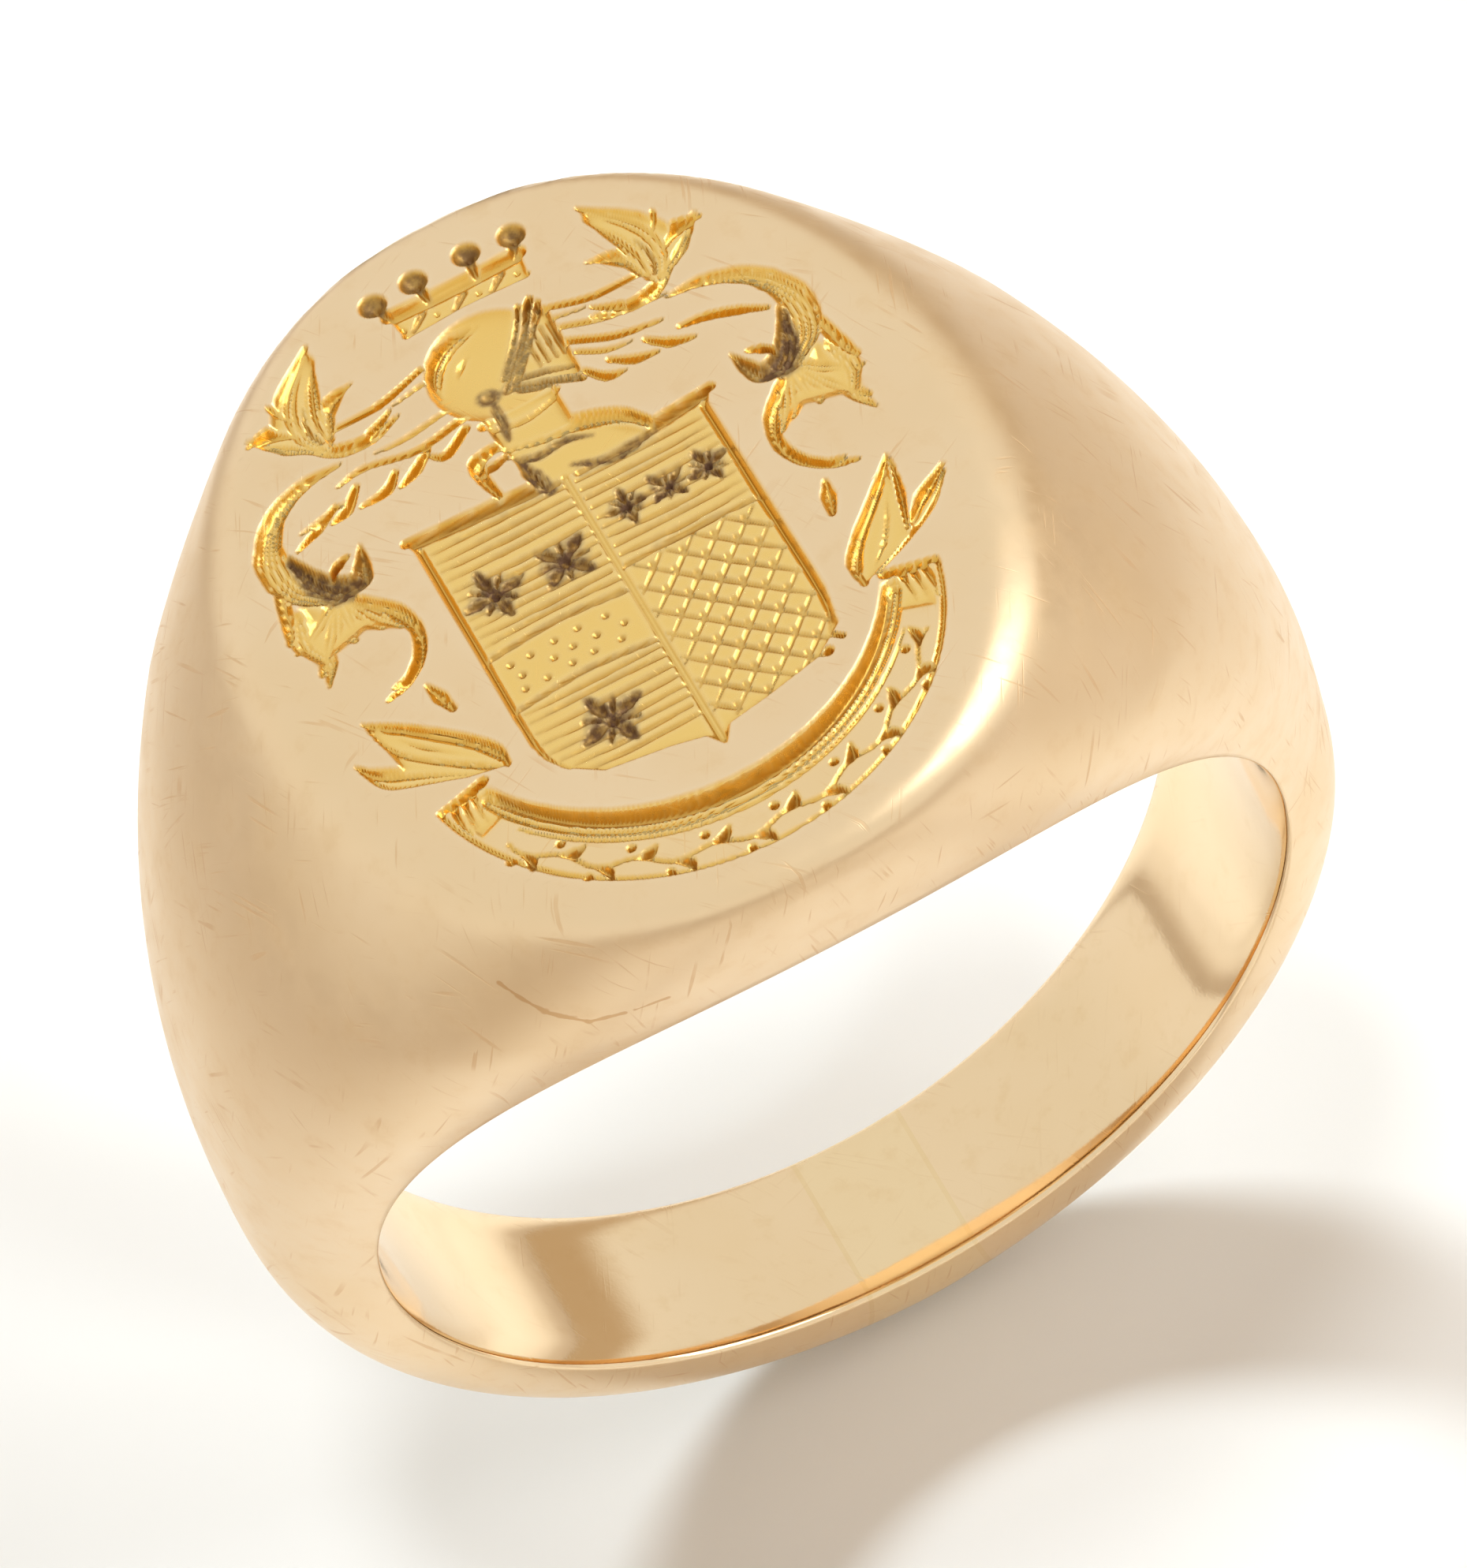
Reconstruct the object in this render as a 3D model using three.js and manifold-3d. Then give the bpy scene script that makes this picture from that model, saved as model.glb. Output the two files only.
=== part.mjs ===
// Oval gold signet ring, built as a goldsmith joins it: a solid head with its shoulders, two halves of
// the shank, a sizing piece let into the back, and the thin solder films between them.
// Millimetres. The origin is the middle of the finger hole, +Y is along the hole's axis, and +Z points
// out of the engraved table. Angles around the ring are in degrees, from +Z towards +X.

import * as THREE from 'three';
import { mergeVertices } from 'three/addons/utils/BufferGeometryUtils.js';
import Module from 'manifold-3d';

const { degToRad, radToDeg, lerp, clamp, smoothstep } = THREE.MathUtils;

// Driving dimensions of the body.
const BORE_RADIUS = 9.5;
const BORE_EDGE_BREAK = 0.13;
const SIDE_OUTER_RADIUS = 11.5;
const BACK_OUTER_RADIUS = 11.9;
const TABLE_HEIGHT = 12.95;
const TABLE_HALF_LENGTH = 6.85;
const TABLE_HALF_WIDTH = 9.3;
const HEAD_RIM_HALF_WIDTH = 8.05;
const BACK_RIM_HALF_WIDTH = 1.89;

// How fast the body narrows: the rim from head to back, and the head's horizontal sections below the
// table, which grow longer and narrower towards the level of the bore's axis. The wall power says how
// close to the rim the sections start to follow the rim's own width.
const RIM_LINEAR_SHARE = 0.26;
const RIM_POWER = 3.5;
const SHOULDER_POWER = 2.55;
const AXIS_LEVEL_HALF_WIDTH = 3.45;
const SIDE_WALL_POWER = 2.4;
const SHOULDER_SECTION_EXPONENT = 2.35;
const RIM_FOLLOW_POWER = 1.9;

// The shank's rounded section, and where the shoulders have turned into it.
const SHANK_CROWN_EXPONENT = 1.7;
const SHANK_SIDE_EXPONENT = 2.5;
const SHOULDER_END_ANGLE = 60;
const SHANK_START_ANGLE = 110;

// Where the pieces meet. The solder films are about a tenth of a millimetre thick.
const HEAD_JOINT_ANGLE = 72;
const INSERT_START_ANGLE = 172.5;
const INSERT_END_ANGLE = 186;
const SEAM_ANGLE = 0.6;

// Facets: points up each side of a section, and sections along each piece.
const SIDE_POINTS = 11;
const HEAD_STEPS = 56;
const SHANK_STEPS = 20;
const INSERT_STEPS = 3;

// The engraving, in the table's plane: x along the finger's width, y along the finger.
const ENGRAVING_DEPTH = 0.35;
const ENGRAVING_X = -0.35;
const ENGRAVING_SEGMENTS = 10;
const SHIELD = { topY: 1.8, topHalfWidth: 3.15, baseHalfWidth: 2.8, baseY: -4.4, tipY: -5.65 };
const RIBBON = { centreY: -2.8, innerRadius: 4.1, outerRadius: 5.25, startAngle: 195, endAngle: 345 };
const RIBBON_TAIL = { length: 2.6, width: 0.95, notch: 0.7 };
const HELM = { y: 4.8, halfLength: 1.1, halfHeight: 1.15 };
const CORONET = { y: 6.25, height: 0.4, halfWidth: 1.3, pearlY: 7.2, pearlRadius: 0.2, pearlPitch: 0.97 };
const SCROLL = { x: 4.7, y: 1.5, innerRadius: 1.15, outerRadius: 1.75, shift: 0.35 };

const GOLD = { color: 0xe3c488, roughness: 0.34, metalness: 1 };
const INSERT_GOLD = { color: 0xdfc08a, roughness: 0.3, metalness: 1 };
const SOLDER = { color: 0xcdb078, roughness: 0.45, metalness: 1 };

const wasm = await Module();
wasm.setup();

function closeness(angle) {
  // 1 under the table, 0 at the back of the shank.
  return (1 + Math.cos(degToRad(angle))) / 2;
}

function rimHalfWidth(angle) {
  const near = closeness(angle);
  const share = RIM_LINEAR_SHARE * near + (1 - RIM_LINEAR_SHARE) * near ** RIM_POWER;
  return lerp(BACK_RIM_HALF_WIDTH, HEAD_RIM_HALF_WIDTH, share);
}

function sectionHalfLength(z) {
  const rise = (Math.max(z, 0) / TABLE_HEIGHT) ** SHOULDER_POWER;
  return SIDE_OUTER_RADIUS - (SIDE_OUTER_RADIUS - TABLE_HALF_LENGTH) * rise;
}

function sectionHalfWidth(x, z) {
  const level = Math.max(z, 0);
  const below = 1 - level / TABLE_HEIGHT;
  const wall = Math.sign(below) * Math.abs(below) ** SIDE_WALL_POWER;
  const width = TABLE_HALF_WIDTH - (TABLE_HALF_WIDTH - AXIS_LEVEL_HALF_WIDTH) * wall;
  const depth = clamp((TABLE_HEIGHT - level) / (TABLE_HEIGHT - BORE_RADIUS), 0, 1);
  const exponent = lerp(2, SHOULDER_SECTION_EXPONENT, depth);
  const reach = clamp(x / sectionHalfLength(level), 0, 1);
  return width * (1 - reach ** exponent) ** (1 / exponent);
}

// Distance from the bore's axis to the body's outer line at this angle, with the head left domed: its
// table is cut flat afterwards.
function crownRadius(angle) {
  const sine = Math.abs(Math.sin(degToRad(angle)));
  const cosine = Math.cos(degToRad(angle));
  if (cosine <= 0) return lerp(BACK_OUTER_RADIUS, SIDE_OUTER_RADIUS, sine);
  let inside = BORE_RADIUS;
  let outside = 2 * TABLE_HEIGHT;
  for (let halving = 0; halving < 40; halving += 1) {
    const middle = (inside + outside) / 2;
    if (middle * sine < sectionHalfLength(middle * cosine)) inside = middle;
    else outside = middle;
  }
  return inside;
}

function halfWidth(angle, radius, crown) {
  const sine = Math.abs(Math.sin(degToRad(angle)));
  const cosine = Math.cos(degToRad(angle));
  const rim = rimHalfWidth(angle);
  const height = clamp((radius - BORE_RADIUS) / (crown - BORE_RADIUS), 0, 1);
  const atRim = sectionHalfWidth(BORE_RADIUS * sine, BORE_RADIUS * cosine);
  const follow = (rim / atRim) ** ((1 - height) ** RIM_FOLLOW_POWER);
  const head = sectionHalfWidth(radius * sine, radius * cosine) * follow;
  const shank = rim * (1 - height ** SHANK_CROWN_EXPONENT) ** (1 / SHANK_SIDE_EXPONENT);
  const turned = radToDeg(Math.acos(cosine));
  return lerp(head, shank, smoothstep(turned, SHOULDER_END_ANGLE, SHANK_START_ANGLE));
}

// One section's outline as points (y, radius): up the -Y side, over the crown, down the +Y side and back
// along the bore.
function sectionOutline(angle) {
  const crown = crownRadius(angle);
  const edgeRadius = BORE_RADIUS + BORE_EDGE_BREAK;
  const side = [];
  for (let i = 0; i < SIDE_POINTS; i += 1) {
    const radius = lerp(edgeRadius, crown, Math.sin((i / SIDE_POINTS) * (Math.PI / 2)));
    side.push(new THREE.Vector2(halfWidth(angle, radius, crown), radius));
  }
  const boreY = side[0].x - BORE_EDGE_BREAK;
  return [
    ...side.map((point) => new THREE.Vector2(-point.x, point.y)),
    new THREE.Vector2(0, crown),
    ...side.reverse(),
    new THREE.Vector2(boreY, BORE_RADIUS),
    new THREE.Vector2(-boreY, BORE_RADIUS),
  ];
}

function ringPoint(angle, y, radius) {
  return [radius * Math.sin(degToRad(angle)), y, radius * Math.cos(degToRad(angle))];
}

// A closed length of the ring between two radial planes.
function ringSector(startAngle, endAngle, steps) {
  const positions = [];
  const triangles = [];
  for (let step = 0; step <= steps; step += 1) {
    const angle = lerp(startAngle, endAngle, step / steps);
    for (const point of sectionOutline(angle)) positions.push(...ringPoint(angle, point.x, point.y));
  }
  const around = positions.length / 3 / (steps + 1);
  for (let step = 0; step < steps; step += 1) {
    for (let i = 0; i < around; i += 1) {
      const a = step * around + i;
      const b = step * around + ((i + 1) % around);
      triangles.push(a, a + around, b, b, a + around, b + around);
    }
  }
  for (const end of [0, steps]) {
    const angle = end === 0 ? startAngle : endAngle;
    const middle = positions.length / 3;
    positions.push(...ringPoint(angle, 0, (BORE_RADIUS + crownRadius(angle)) / 2));
    for (let i = 0; i < around; i += 1) {
      const a = end * around + i;
      const b = end * around + ((i + 1) % around);
      triangles.push(middle, ...(end === 0 ? [a, b] : [b, a]));
    }
  }
  const geometry = new THREE.BufferGeometry();
  geometry.setAttribute('position', new THREE.Float32BufferAttribute(positions, 3));
  geometry.setIndex(triangles);
  return geometry;
}

function toSolid(geometry) {
  const bare = geometry.clone();
  bare.deleteAttribute('normal');
  bare.deleteAttribute('uv');
  const merged = mergeVertices(bare, 1e-5);
  const vertProperties = new Float32Array(merged.attributes.position.array);
  const triVerts = new Uint32Array(merged.index.array);
  return new wasm.Manifold(new wasm.Mesh({ numProp: 3, vertProperties, triVerts }));
}

function toGeometry(solid) {
  const { vertProperties, triVerts } = solid.getMesh();
  const geometry = new THREE.BufferGeometry();
  geometry.setAttribute('position', new THREE.BufferAttribute(new Float32Array(vertProperties), 3));
  geometry.setIndex(new THREE.BufferAttribute(new Uint32Array(triVerts), 1));
  return geometry;
}

// Outlines of the engraved areas, mirrored where the design has a left and a right.

function shieldOutline() {
  const { topY, topHalfWidth, baseHalfWidth, baseY, tipY } = SHIELD;
  const shape = new THREE.Shape();
  shape.moveTo(-topHalfWidth, topY);
  shape.lineTo(-baseHalfWidth, baseY);
  shape.quadraticCurveTo(-baseHalfWidth / 2, baseY - 0.4, 0, tipY);
  shape.quadraticCurveTo(baseHalfWidth / 2, baseY - 0.4, baseHalfWidth, baseY);
  shape.lineTo(topHalfWidth, topY);
  shape.closePath();
  return shape;
}

function ribbonOutline() {
  const { centreY, innerRadius, outerRadius, startAngle, endAngle } = RIBBON;
  const shape = new THREE.Shape();
  shape.absarc(0, centreY, outerRadius, degToRad(startAngle), degToRad(endAngle), false);
  shape.absarc(0, centreY, innerRadius, degToRad(endAngle), degToRad(startAngle), true);
  shape.closePath();
  return shape;
}

function ribbonTailOutline(side) {
  const { centreY, innerRadius, startAngle } = RIBBON;
  const { length, width, notch } = RIBBON_TAIL;
  const rootX = innerRadius * Math.cos(degToRad(startAngle));
  const rootY = centreY + innerRadius * Math.sin(degToRad(startAngle)) + ENGRAVING_DEPTH;
  const shape = new THREE.Shape();
  shape.moveTo(-side * rootX, rootY);
  shape.lineTo(-side * (rootX - width), rootY + length - width);
  shape.lineTo(-side * (rootX - width), rootY + length - width - notch);
  shape.lineTo(-side * (rootX - 2 * width), rootY + notch);
  shape.closePath();
  return shape;
}

function roundOutline(x, y, halfLength, halfHeight) {
  const shape = new THREE.Shape();
  shape.absellipse(x, y, halfLength, halfHeight, 0, 2 * Math.PI, false, 0);
  return shape;
}

function coronetOutline() {
  const { y, height, halfWidth: half } = CORONET;
  const shape = new THREE.Shape();
  shape.moveTo(-half, y);
  shape.lineTo(half, y);
  shape.lineTo(half + height / 2, y + height);
  shape.lineTo(-half - height / 2, y + height);
  shape.closePath();
  return shape;
}

function scrollOutline(side) {
  const { x, y, innerRadius, outerRadius, shift } = SCROLL;
  const shape = new THREE.Shape();
  shape.absarc(side * x, y, outerRadius, Math.PI / 2, -Math.PI / 2, side > 0);
  shape.absarc(side * (x - shift), y, innerRadius, -Math.PI / 2, Math.PI / 2, side < 0);
  shape.closePath();
  return shape;
}

function engravedOutlines() {
  const outlines = [shieldOutline(), ribbonOutline(), coronetOutline()];
  outlines.push(roundOutline(0, HELM.y, HELM.halfLength, HELM.halfHeight));
  for (const place of [-1.5, -0.5, 0.5, 1.5]) {
    const x = place * CORONET.pearlPitch;
    outlines.push(roundOutline(x, CORONET.pearlY, CORONET.pearlRadius, CORONET.pearlRadius));
  }
  for (const side of [-1, 1]) outlines.push(ribbonTailOutline(side), scrollOutline(side));
  return outlines;
}

function headGeometry() {
  const dome = toSolid(ringSector(-HEAD_JOINT_ANGLE, HEAD_JOINT_ANGLE, HEAD_STEPS));
  const above = new THREE.BoxGeometry(3 * TABLE_HEIGHT, 3 * TABLE_HEIGHT, TABLE_HEIGHT);
  above.translate(0, 0, 1.5 * TABLE_HEIGHT);
  let head = dome.subtract(toSolid(above));
  for (const outline of engravedOutlines()) {
    const cut = new THREE.ExtrudeGeometry(outline, {
      depth: 2 * ENGRAVING_DEPTH,
      bevelEnabled: false,
      curveSegments: ENGRAVING_SEGMENTS,
    });
    cut.translate(ENGRAVING_X, 0, TABLE_HEIGHT - ENGRAVING_DEPTH);
    head = head.subtract(toSolid(cut));
  }
  return toGeometry(head);
}

const ring = new THREE.Group();

function addPiece(name, geometry, finish) {
  const piece = new THREE.Mesh(geometry, new THREE.MeshStandardMaterial(finish));
  piece.name = name;
  ring.add(piece);
}

const rightShank = [HEAD_JOINT_ANGLE + SEAM_ANGLE, INSERT_START_ANGLE - SEAM_ANGLE];
const leftShank = [INSERT_END_ANGLE + SEAM_ANGLE, 360 - HEAD_JOINT_ANGLE - SEAM_ANGLE];

addPiece('signet_head', headGeometry(), GOLD);
addPiece('head_seam_right', ringSector(HEAD_JOINT_ANGLE, rightShank[0], 1), SOLDER);
addPiece('shank_right', ringSector(...rightShank, SHANK_STEPS), GOLD);
addPiece('insert_seam_right', ringSector(rightShank[1], INSERT_START_ANGLE, 1), SOLDER);
addPiece('sizing_insert', ringSector(INSERT_START_ANGLE, INSERT_END_ANGLE, INSERT_STEPS), INSERT_GOLD);
addPiece('insert_seam_left', ringSector(INSERT_END_ANGLE, leftShank[0], 1), SOLDER);
addPiece('shank_left', ringSector(...leftShank, SHANK_STEPS), GOLD);
addPiece('head_seam_left', ringSector(leftShank[1], 360 - HEAD_JOINT_ANGLE, 1), SOLDER);

export default ring;
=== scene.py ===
"""The looks of the signet ring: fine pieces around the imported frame, in metres, with the camera and studio.

The ring's body is one smooth surface, worked out from the same driving dimensions as the CAD part. Each
piece is a length of that surface between two radial planes. The head also carries the engraving, cut as a
depth below the table. Lengths in this script are millimetres until a mesh is made.
"""

import math

import bpy
import numpy as np
from mathutils import Matrix, Vector


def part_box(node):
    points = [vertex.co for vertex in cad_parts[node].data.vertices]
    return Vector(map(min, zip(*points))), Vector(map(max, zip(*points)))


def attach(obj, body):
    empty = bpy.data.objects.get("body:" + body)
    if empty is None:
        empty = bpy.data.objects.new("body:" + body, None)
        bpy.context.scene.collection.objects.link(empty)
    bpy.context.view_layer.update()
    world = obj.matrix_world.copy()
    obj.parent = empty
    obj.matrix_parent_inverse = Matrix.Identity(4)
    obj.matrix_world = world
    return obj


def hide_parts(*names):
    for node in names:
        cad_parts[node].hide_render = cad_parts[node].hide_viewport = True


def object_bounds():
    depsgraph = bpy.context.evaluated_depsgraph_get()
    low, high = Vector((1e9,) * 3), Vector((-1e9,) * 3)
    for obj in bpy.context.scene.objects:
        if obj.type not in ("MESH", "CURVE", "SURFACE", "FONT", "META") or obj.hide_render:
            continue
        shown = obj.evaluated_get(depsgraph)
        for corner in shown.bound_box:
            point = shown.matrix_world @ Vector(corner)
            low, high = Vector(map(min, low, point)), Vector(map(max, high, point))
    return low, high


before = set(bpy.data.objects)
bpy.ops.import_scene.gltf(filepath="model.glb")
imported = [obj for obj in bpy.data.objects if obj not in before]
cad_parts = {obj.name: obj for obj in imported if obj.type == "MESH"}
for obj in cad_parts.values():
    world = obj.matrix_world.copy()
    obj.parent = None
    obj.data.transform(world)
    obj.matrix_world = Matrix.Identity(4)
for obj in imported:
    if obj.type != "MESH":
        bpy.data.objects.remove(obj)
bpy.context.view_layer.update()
MM = 0.001

# ---- driving dimensions, millimetres
TABLE_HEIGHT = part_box("signet_head")[1][2] / MM
BORE_RADIUS = 9.5
BORE_EDGE_BREAK = 0.13
BORE_EDGE_REACH = 0.7
SIDE_OUTER_RADIUS = 11.5
BACK_OUTER_RADIUS = 11.9
TABLE_HALF_LENGTH = 6.85
TABLE_HALF_WIDTH = 9.3
HEAD_RIM_HALF_WIDTH = 8.05
BACK_RIM_HALF_WIDTH = 1.89
RIM_LINEAR_SHARE = 0.26
RIM_POWER = 3.5
SHOULDER_POWER = 2.55
AXIS_LEVEL_HALF_WIDTH = 3.45
SIDE_WALL_POWER = 2.4
SHOULDER_SECTION_EXPONENT = 2.35
RIM_FOLLOW_POWER = 1.9
SHANK_CROWN_EXPONENT = 1.7
SHANK_SIDE_EXPONENT = 2.5
SHOULDER_END_ANGLE = 60.0
SHANK_START_ANGLE = 110.0
HEAD_JOINT_ANGLE = 72.0
INSERT_START_ANGLE = 172.5
INSERT_END_ANGLE = 186.0
SEAM_ANGLE = 0.6
BISECTIONS = 45
TINY = 1e-6

# The table's edge is worn round: this far in from the side and this far down.
EDGE_REACH = 0.55
EDGE_DROP = 0.7


# ---- the body's surface
def closeness(angle):
    return (1 + np.cos(angle)) / 2


def rim_half_width(angle):
    near = closeness(angle)
    share = RIM_LINEAR_SHARE * near + (1 - RIM_LINEAR_SHARE) * near**RIM_POWER
    return BACK_RIM_HALF_WIDTH + (HEAD_RIM_HALF_WIDTH - BACK_RIM_HALF_WIDTH) * share


def edge_shrink(z):
    up = np.clip((z - (TABLE_HEIGHT - EDGE_DROP)) / EDGE_DROP, 0, 1)
    return EDGE_REACH * (1 - np.sqrt(1 - up**2))


def section_half_length(z, worn):
    rise = (np.maximum(z, 0) / TABLE_HEIGHT) ** SHOULDER_POWER
    length = SIDE_OUTER_RADIUS - (SIDE_OUTER_RADIUS - TABLE_HALF_LENGTH) * rise
    return length - worn * edge_shrink(z)


def section_half_width(x, z, worn):
    level = np.maximum(z, 0)
    below = 1 - level / TABLE_HEIGHT
    wall = np.sign(below) * np.abs(below) ** SIDE_WALL_POWER
    width = TABLE_HALF_WIDTH - (TABLE_HALF_WIDTH - AXIS_LEVEL_HALF_WIDTH) * wall - worn * edge_shrink(level)
    depth = np.clip((TABLE_HEIGHT - level) / (TABLE_HEIGHT - BORE_RADIUS), 0, 1)
    exponent = 2 + (SHOULDER_SECTION_EXPONENT - 2) * depth
    reach = np.clip(x / section_half_length(level, worn), 0, 1)
    return width * (1 - reach**exponent) ** (1 / exponent)


def crown_radius(angle, worn):
    """The body's outer line. The worn one stops at the table, the other is left domed."""
    sine, cosine = np.abs(np.sin(angle)), np.cos(angle)
    inside = np.full_like(angle, BORE_RADIUS)
    outside = np.full_like(angle, 2 * TABLE_HEIGHT)
    if worn:
        outside = np.minimum(outside, TABLE_HEIGHT / np.maximum(cosine, TINY))
    for _ in range(BISECTIONS):
        middle = (inside + outside) / 2
        within = middle * sine < section_half_length(middle * cosine, worn)
        inside = np.where(within, middle, inside)
        outside = np.where(within, outside, middle)
    back = BACK_OUTER_RADIUS + (SIDE_OUTER_RADIUS - BACK_OUTER_RADIUS) * sine
    return np.where(cosine > 0, inside, back)


def smoothstep(value, low, high):
    share = np.clip((value - low) / (high - low), 0, 1)
    return share * share * (3 - 2 * share)


def half_width(angle, radius):
    sine, cosine = np.abs(np.sin(angle)), np.cos(angle)
    rim = rim_half_width(angle)
    height = np.clip((radius - BORE_RADIUS) / (crown_radius(angle, 0) - BORE_RADIUS), 0, 1)
    at_rim = section_half_width(BORE_RADIUS * sine, BORE_RADIUS * cosine, 0)
    follow = (rim / at_rim) ** ((1 - height) ** RIM_FOLLOW_POWER)
    head = section_half_width(radius * sine, radius * cosine, 1) * follow
    shank = rim * np.maximum(1 - height**SHANK_CROWN_EXPONENT, 0) ** (1 / SHANK_SIDE_EXPONENT)
    turned = np.degrees(np.arccos(np.clip(cosine, -1, 1)))
    share = smoothstep(turned, SHOULDER_END_ANGLE, SHANK_START_ANGLE)
    return head + (shank - head) * share


SIDE_SAMPLES = 500


class Sections:
    """Half outlines at the given angles, by distance s along them from the crown's middle line."""

    def __init__(self, angles):
        self.angles = np.asarray(angles, float)
        column = self.angles[:, None]
        top = crown_radius(column, 1)
        turn = np.linspace(0, math.pi / 2, SIDE_SAMPLES)[None, ::-1]
        edge = BORE_RADIUS + BORE_EDGE_BREAK
        radius = edge + (top - edge) * np.sin(turn)
        y = half_width(np.broadcast_to(column, radius.shape), radius)
        on_table = top * np.cos(column) > TABLE_HEIGHT - TINY
        y[:, :1] = np.where(on_table, y[:, :1], 0)
        self.radius = np.concatenate([top, radius], 1)
        self.y = np.concatenate([np.zeros_like(top), y], 1)
        step = np.hypot(np.diff(self.radius, axis=1), np.diff(self.y, axis=1))
        self.s = np.concatenate([np.zeros_like(top), np.cumsum(step, 1)], 1)
        self.length = self.s[:, -1]

    def at(self, index, s):
        """Points on outline index at signed distances s: arrays of y and radius."""
        away = np.abs(s)
        y = np.interp(away, self.s[index], self.y[index])
        radius = np.interp(away, self.s[index], self.radius[index])
        return np.sign(s) * y, radius


# ---- engraving
# The design is cut into the table with a graver. Every cut deepens a grid of depths, in millimetres. The
# charges, the ribbon's marks and the rest of the crest are generic.
FULL_DEPTH = 0.4
DEEPEST_CUT = 0.44
SHALLOWEST_CUT = 0.004
FINE_STEP = 0.04
CELL_SPLIT = 6
# Some layers are painted light: painted shade on the cut walls and in the grooves, painted highlights on the
# ridges, and the cut floors' colour is a painted reflection.
LAYERS = ("cut", "wall", "groove_painted_shade", "ridge_painted_highlight", "halo", "residue", "polish")
DESIGN_X = -0.3
CURVE_STEPS = 6
FAR = 9.0
LEAST_WIDTH = 0.03
CUT_ROUNDNESS = 2.6
RIDGE_ROUNDNESS = 0.7
WALL_SLOPE = 2.2
GROOVE_RISE = 0.06
RIDGE_RISE = 0.04
HALO_STEPS = 6
HALO_GAIN = 2.2
hand = np.random.default_rng(7)


def wobble(size):
    return size * hand.standard_normal()


def smooth_line(points):
    """A smooth curve through the points."""
    points = np.array(points, float)
    padded = np.concatenate([[2 * points[0] - points[1]], points, [2 * points[-1] - points[-2]]])
    t = (np.arange(CURVE_STEPS) / CURVE_STEPS)[:, None]
    spans = []
    for a, b, c, d in zip(padded, padded[1:], padded[2:], padded[3:]):
        square = a - 2.5 * b + 2 * c - d / 2
        cube = 1.5 * (b - c) + (d - a) / 2
        spans.append(b + (c - a) / 2 * t + square * t**2 + cube * t**3)
    return np.concatenate([*spans, points[-1:]])


def mirrored(points):
    return [(2 * DESIGN_X - x, y) for x, y in points]


def soften(field, times):
    for _ in range(times):
        field = np.pad(field, 1, mode="edge")
        field = (field[:-2] + 2 * field[1:-1] + field[2:]) / 4
        field = (field[:, :-2] + 2 * field[:, 1:-1] + field[:, 2:]) / 4
    return field


def beside(x, y, start, end):
    """Each point's share of the way along a straight line, and its offset from there."""
    step = end - start
    from_x = x - start[0]
    from_y = y - start[1]
    share = np.clip((from_x * step[0] + from_y * step[1]) / (step @ step + 1e-12), 0, 1)
    return share, from_x - share * step[0], from_y - share * step[1]


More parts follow.
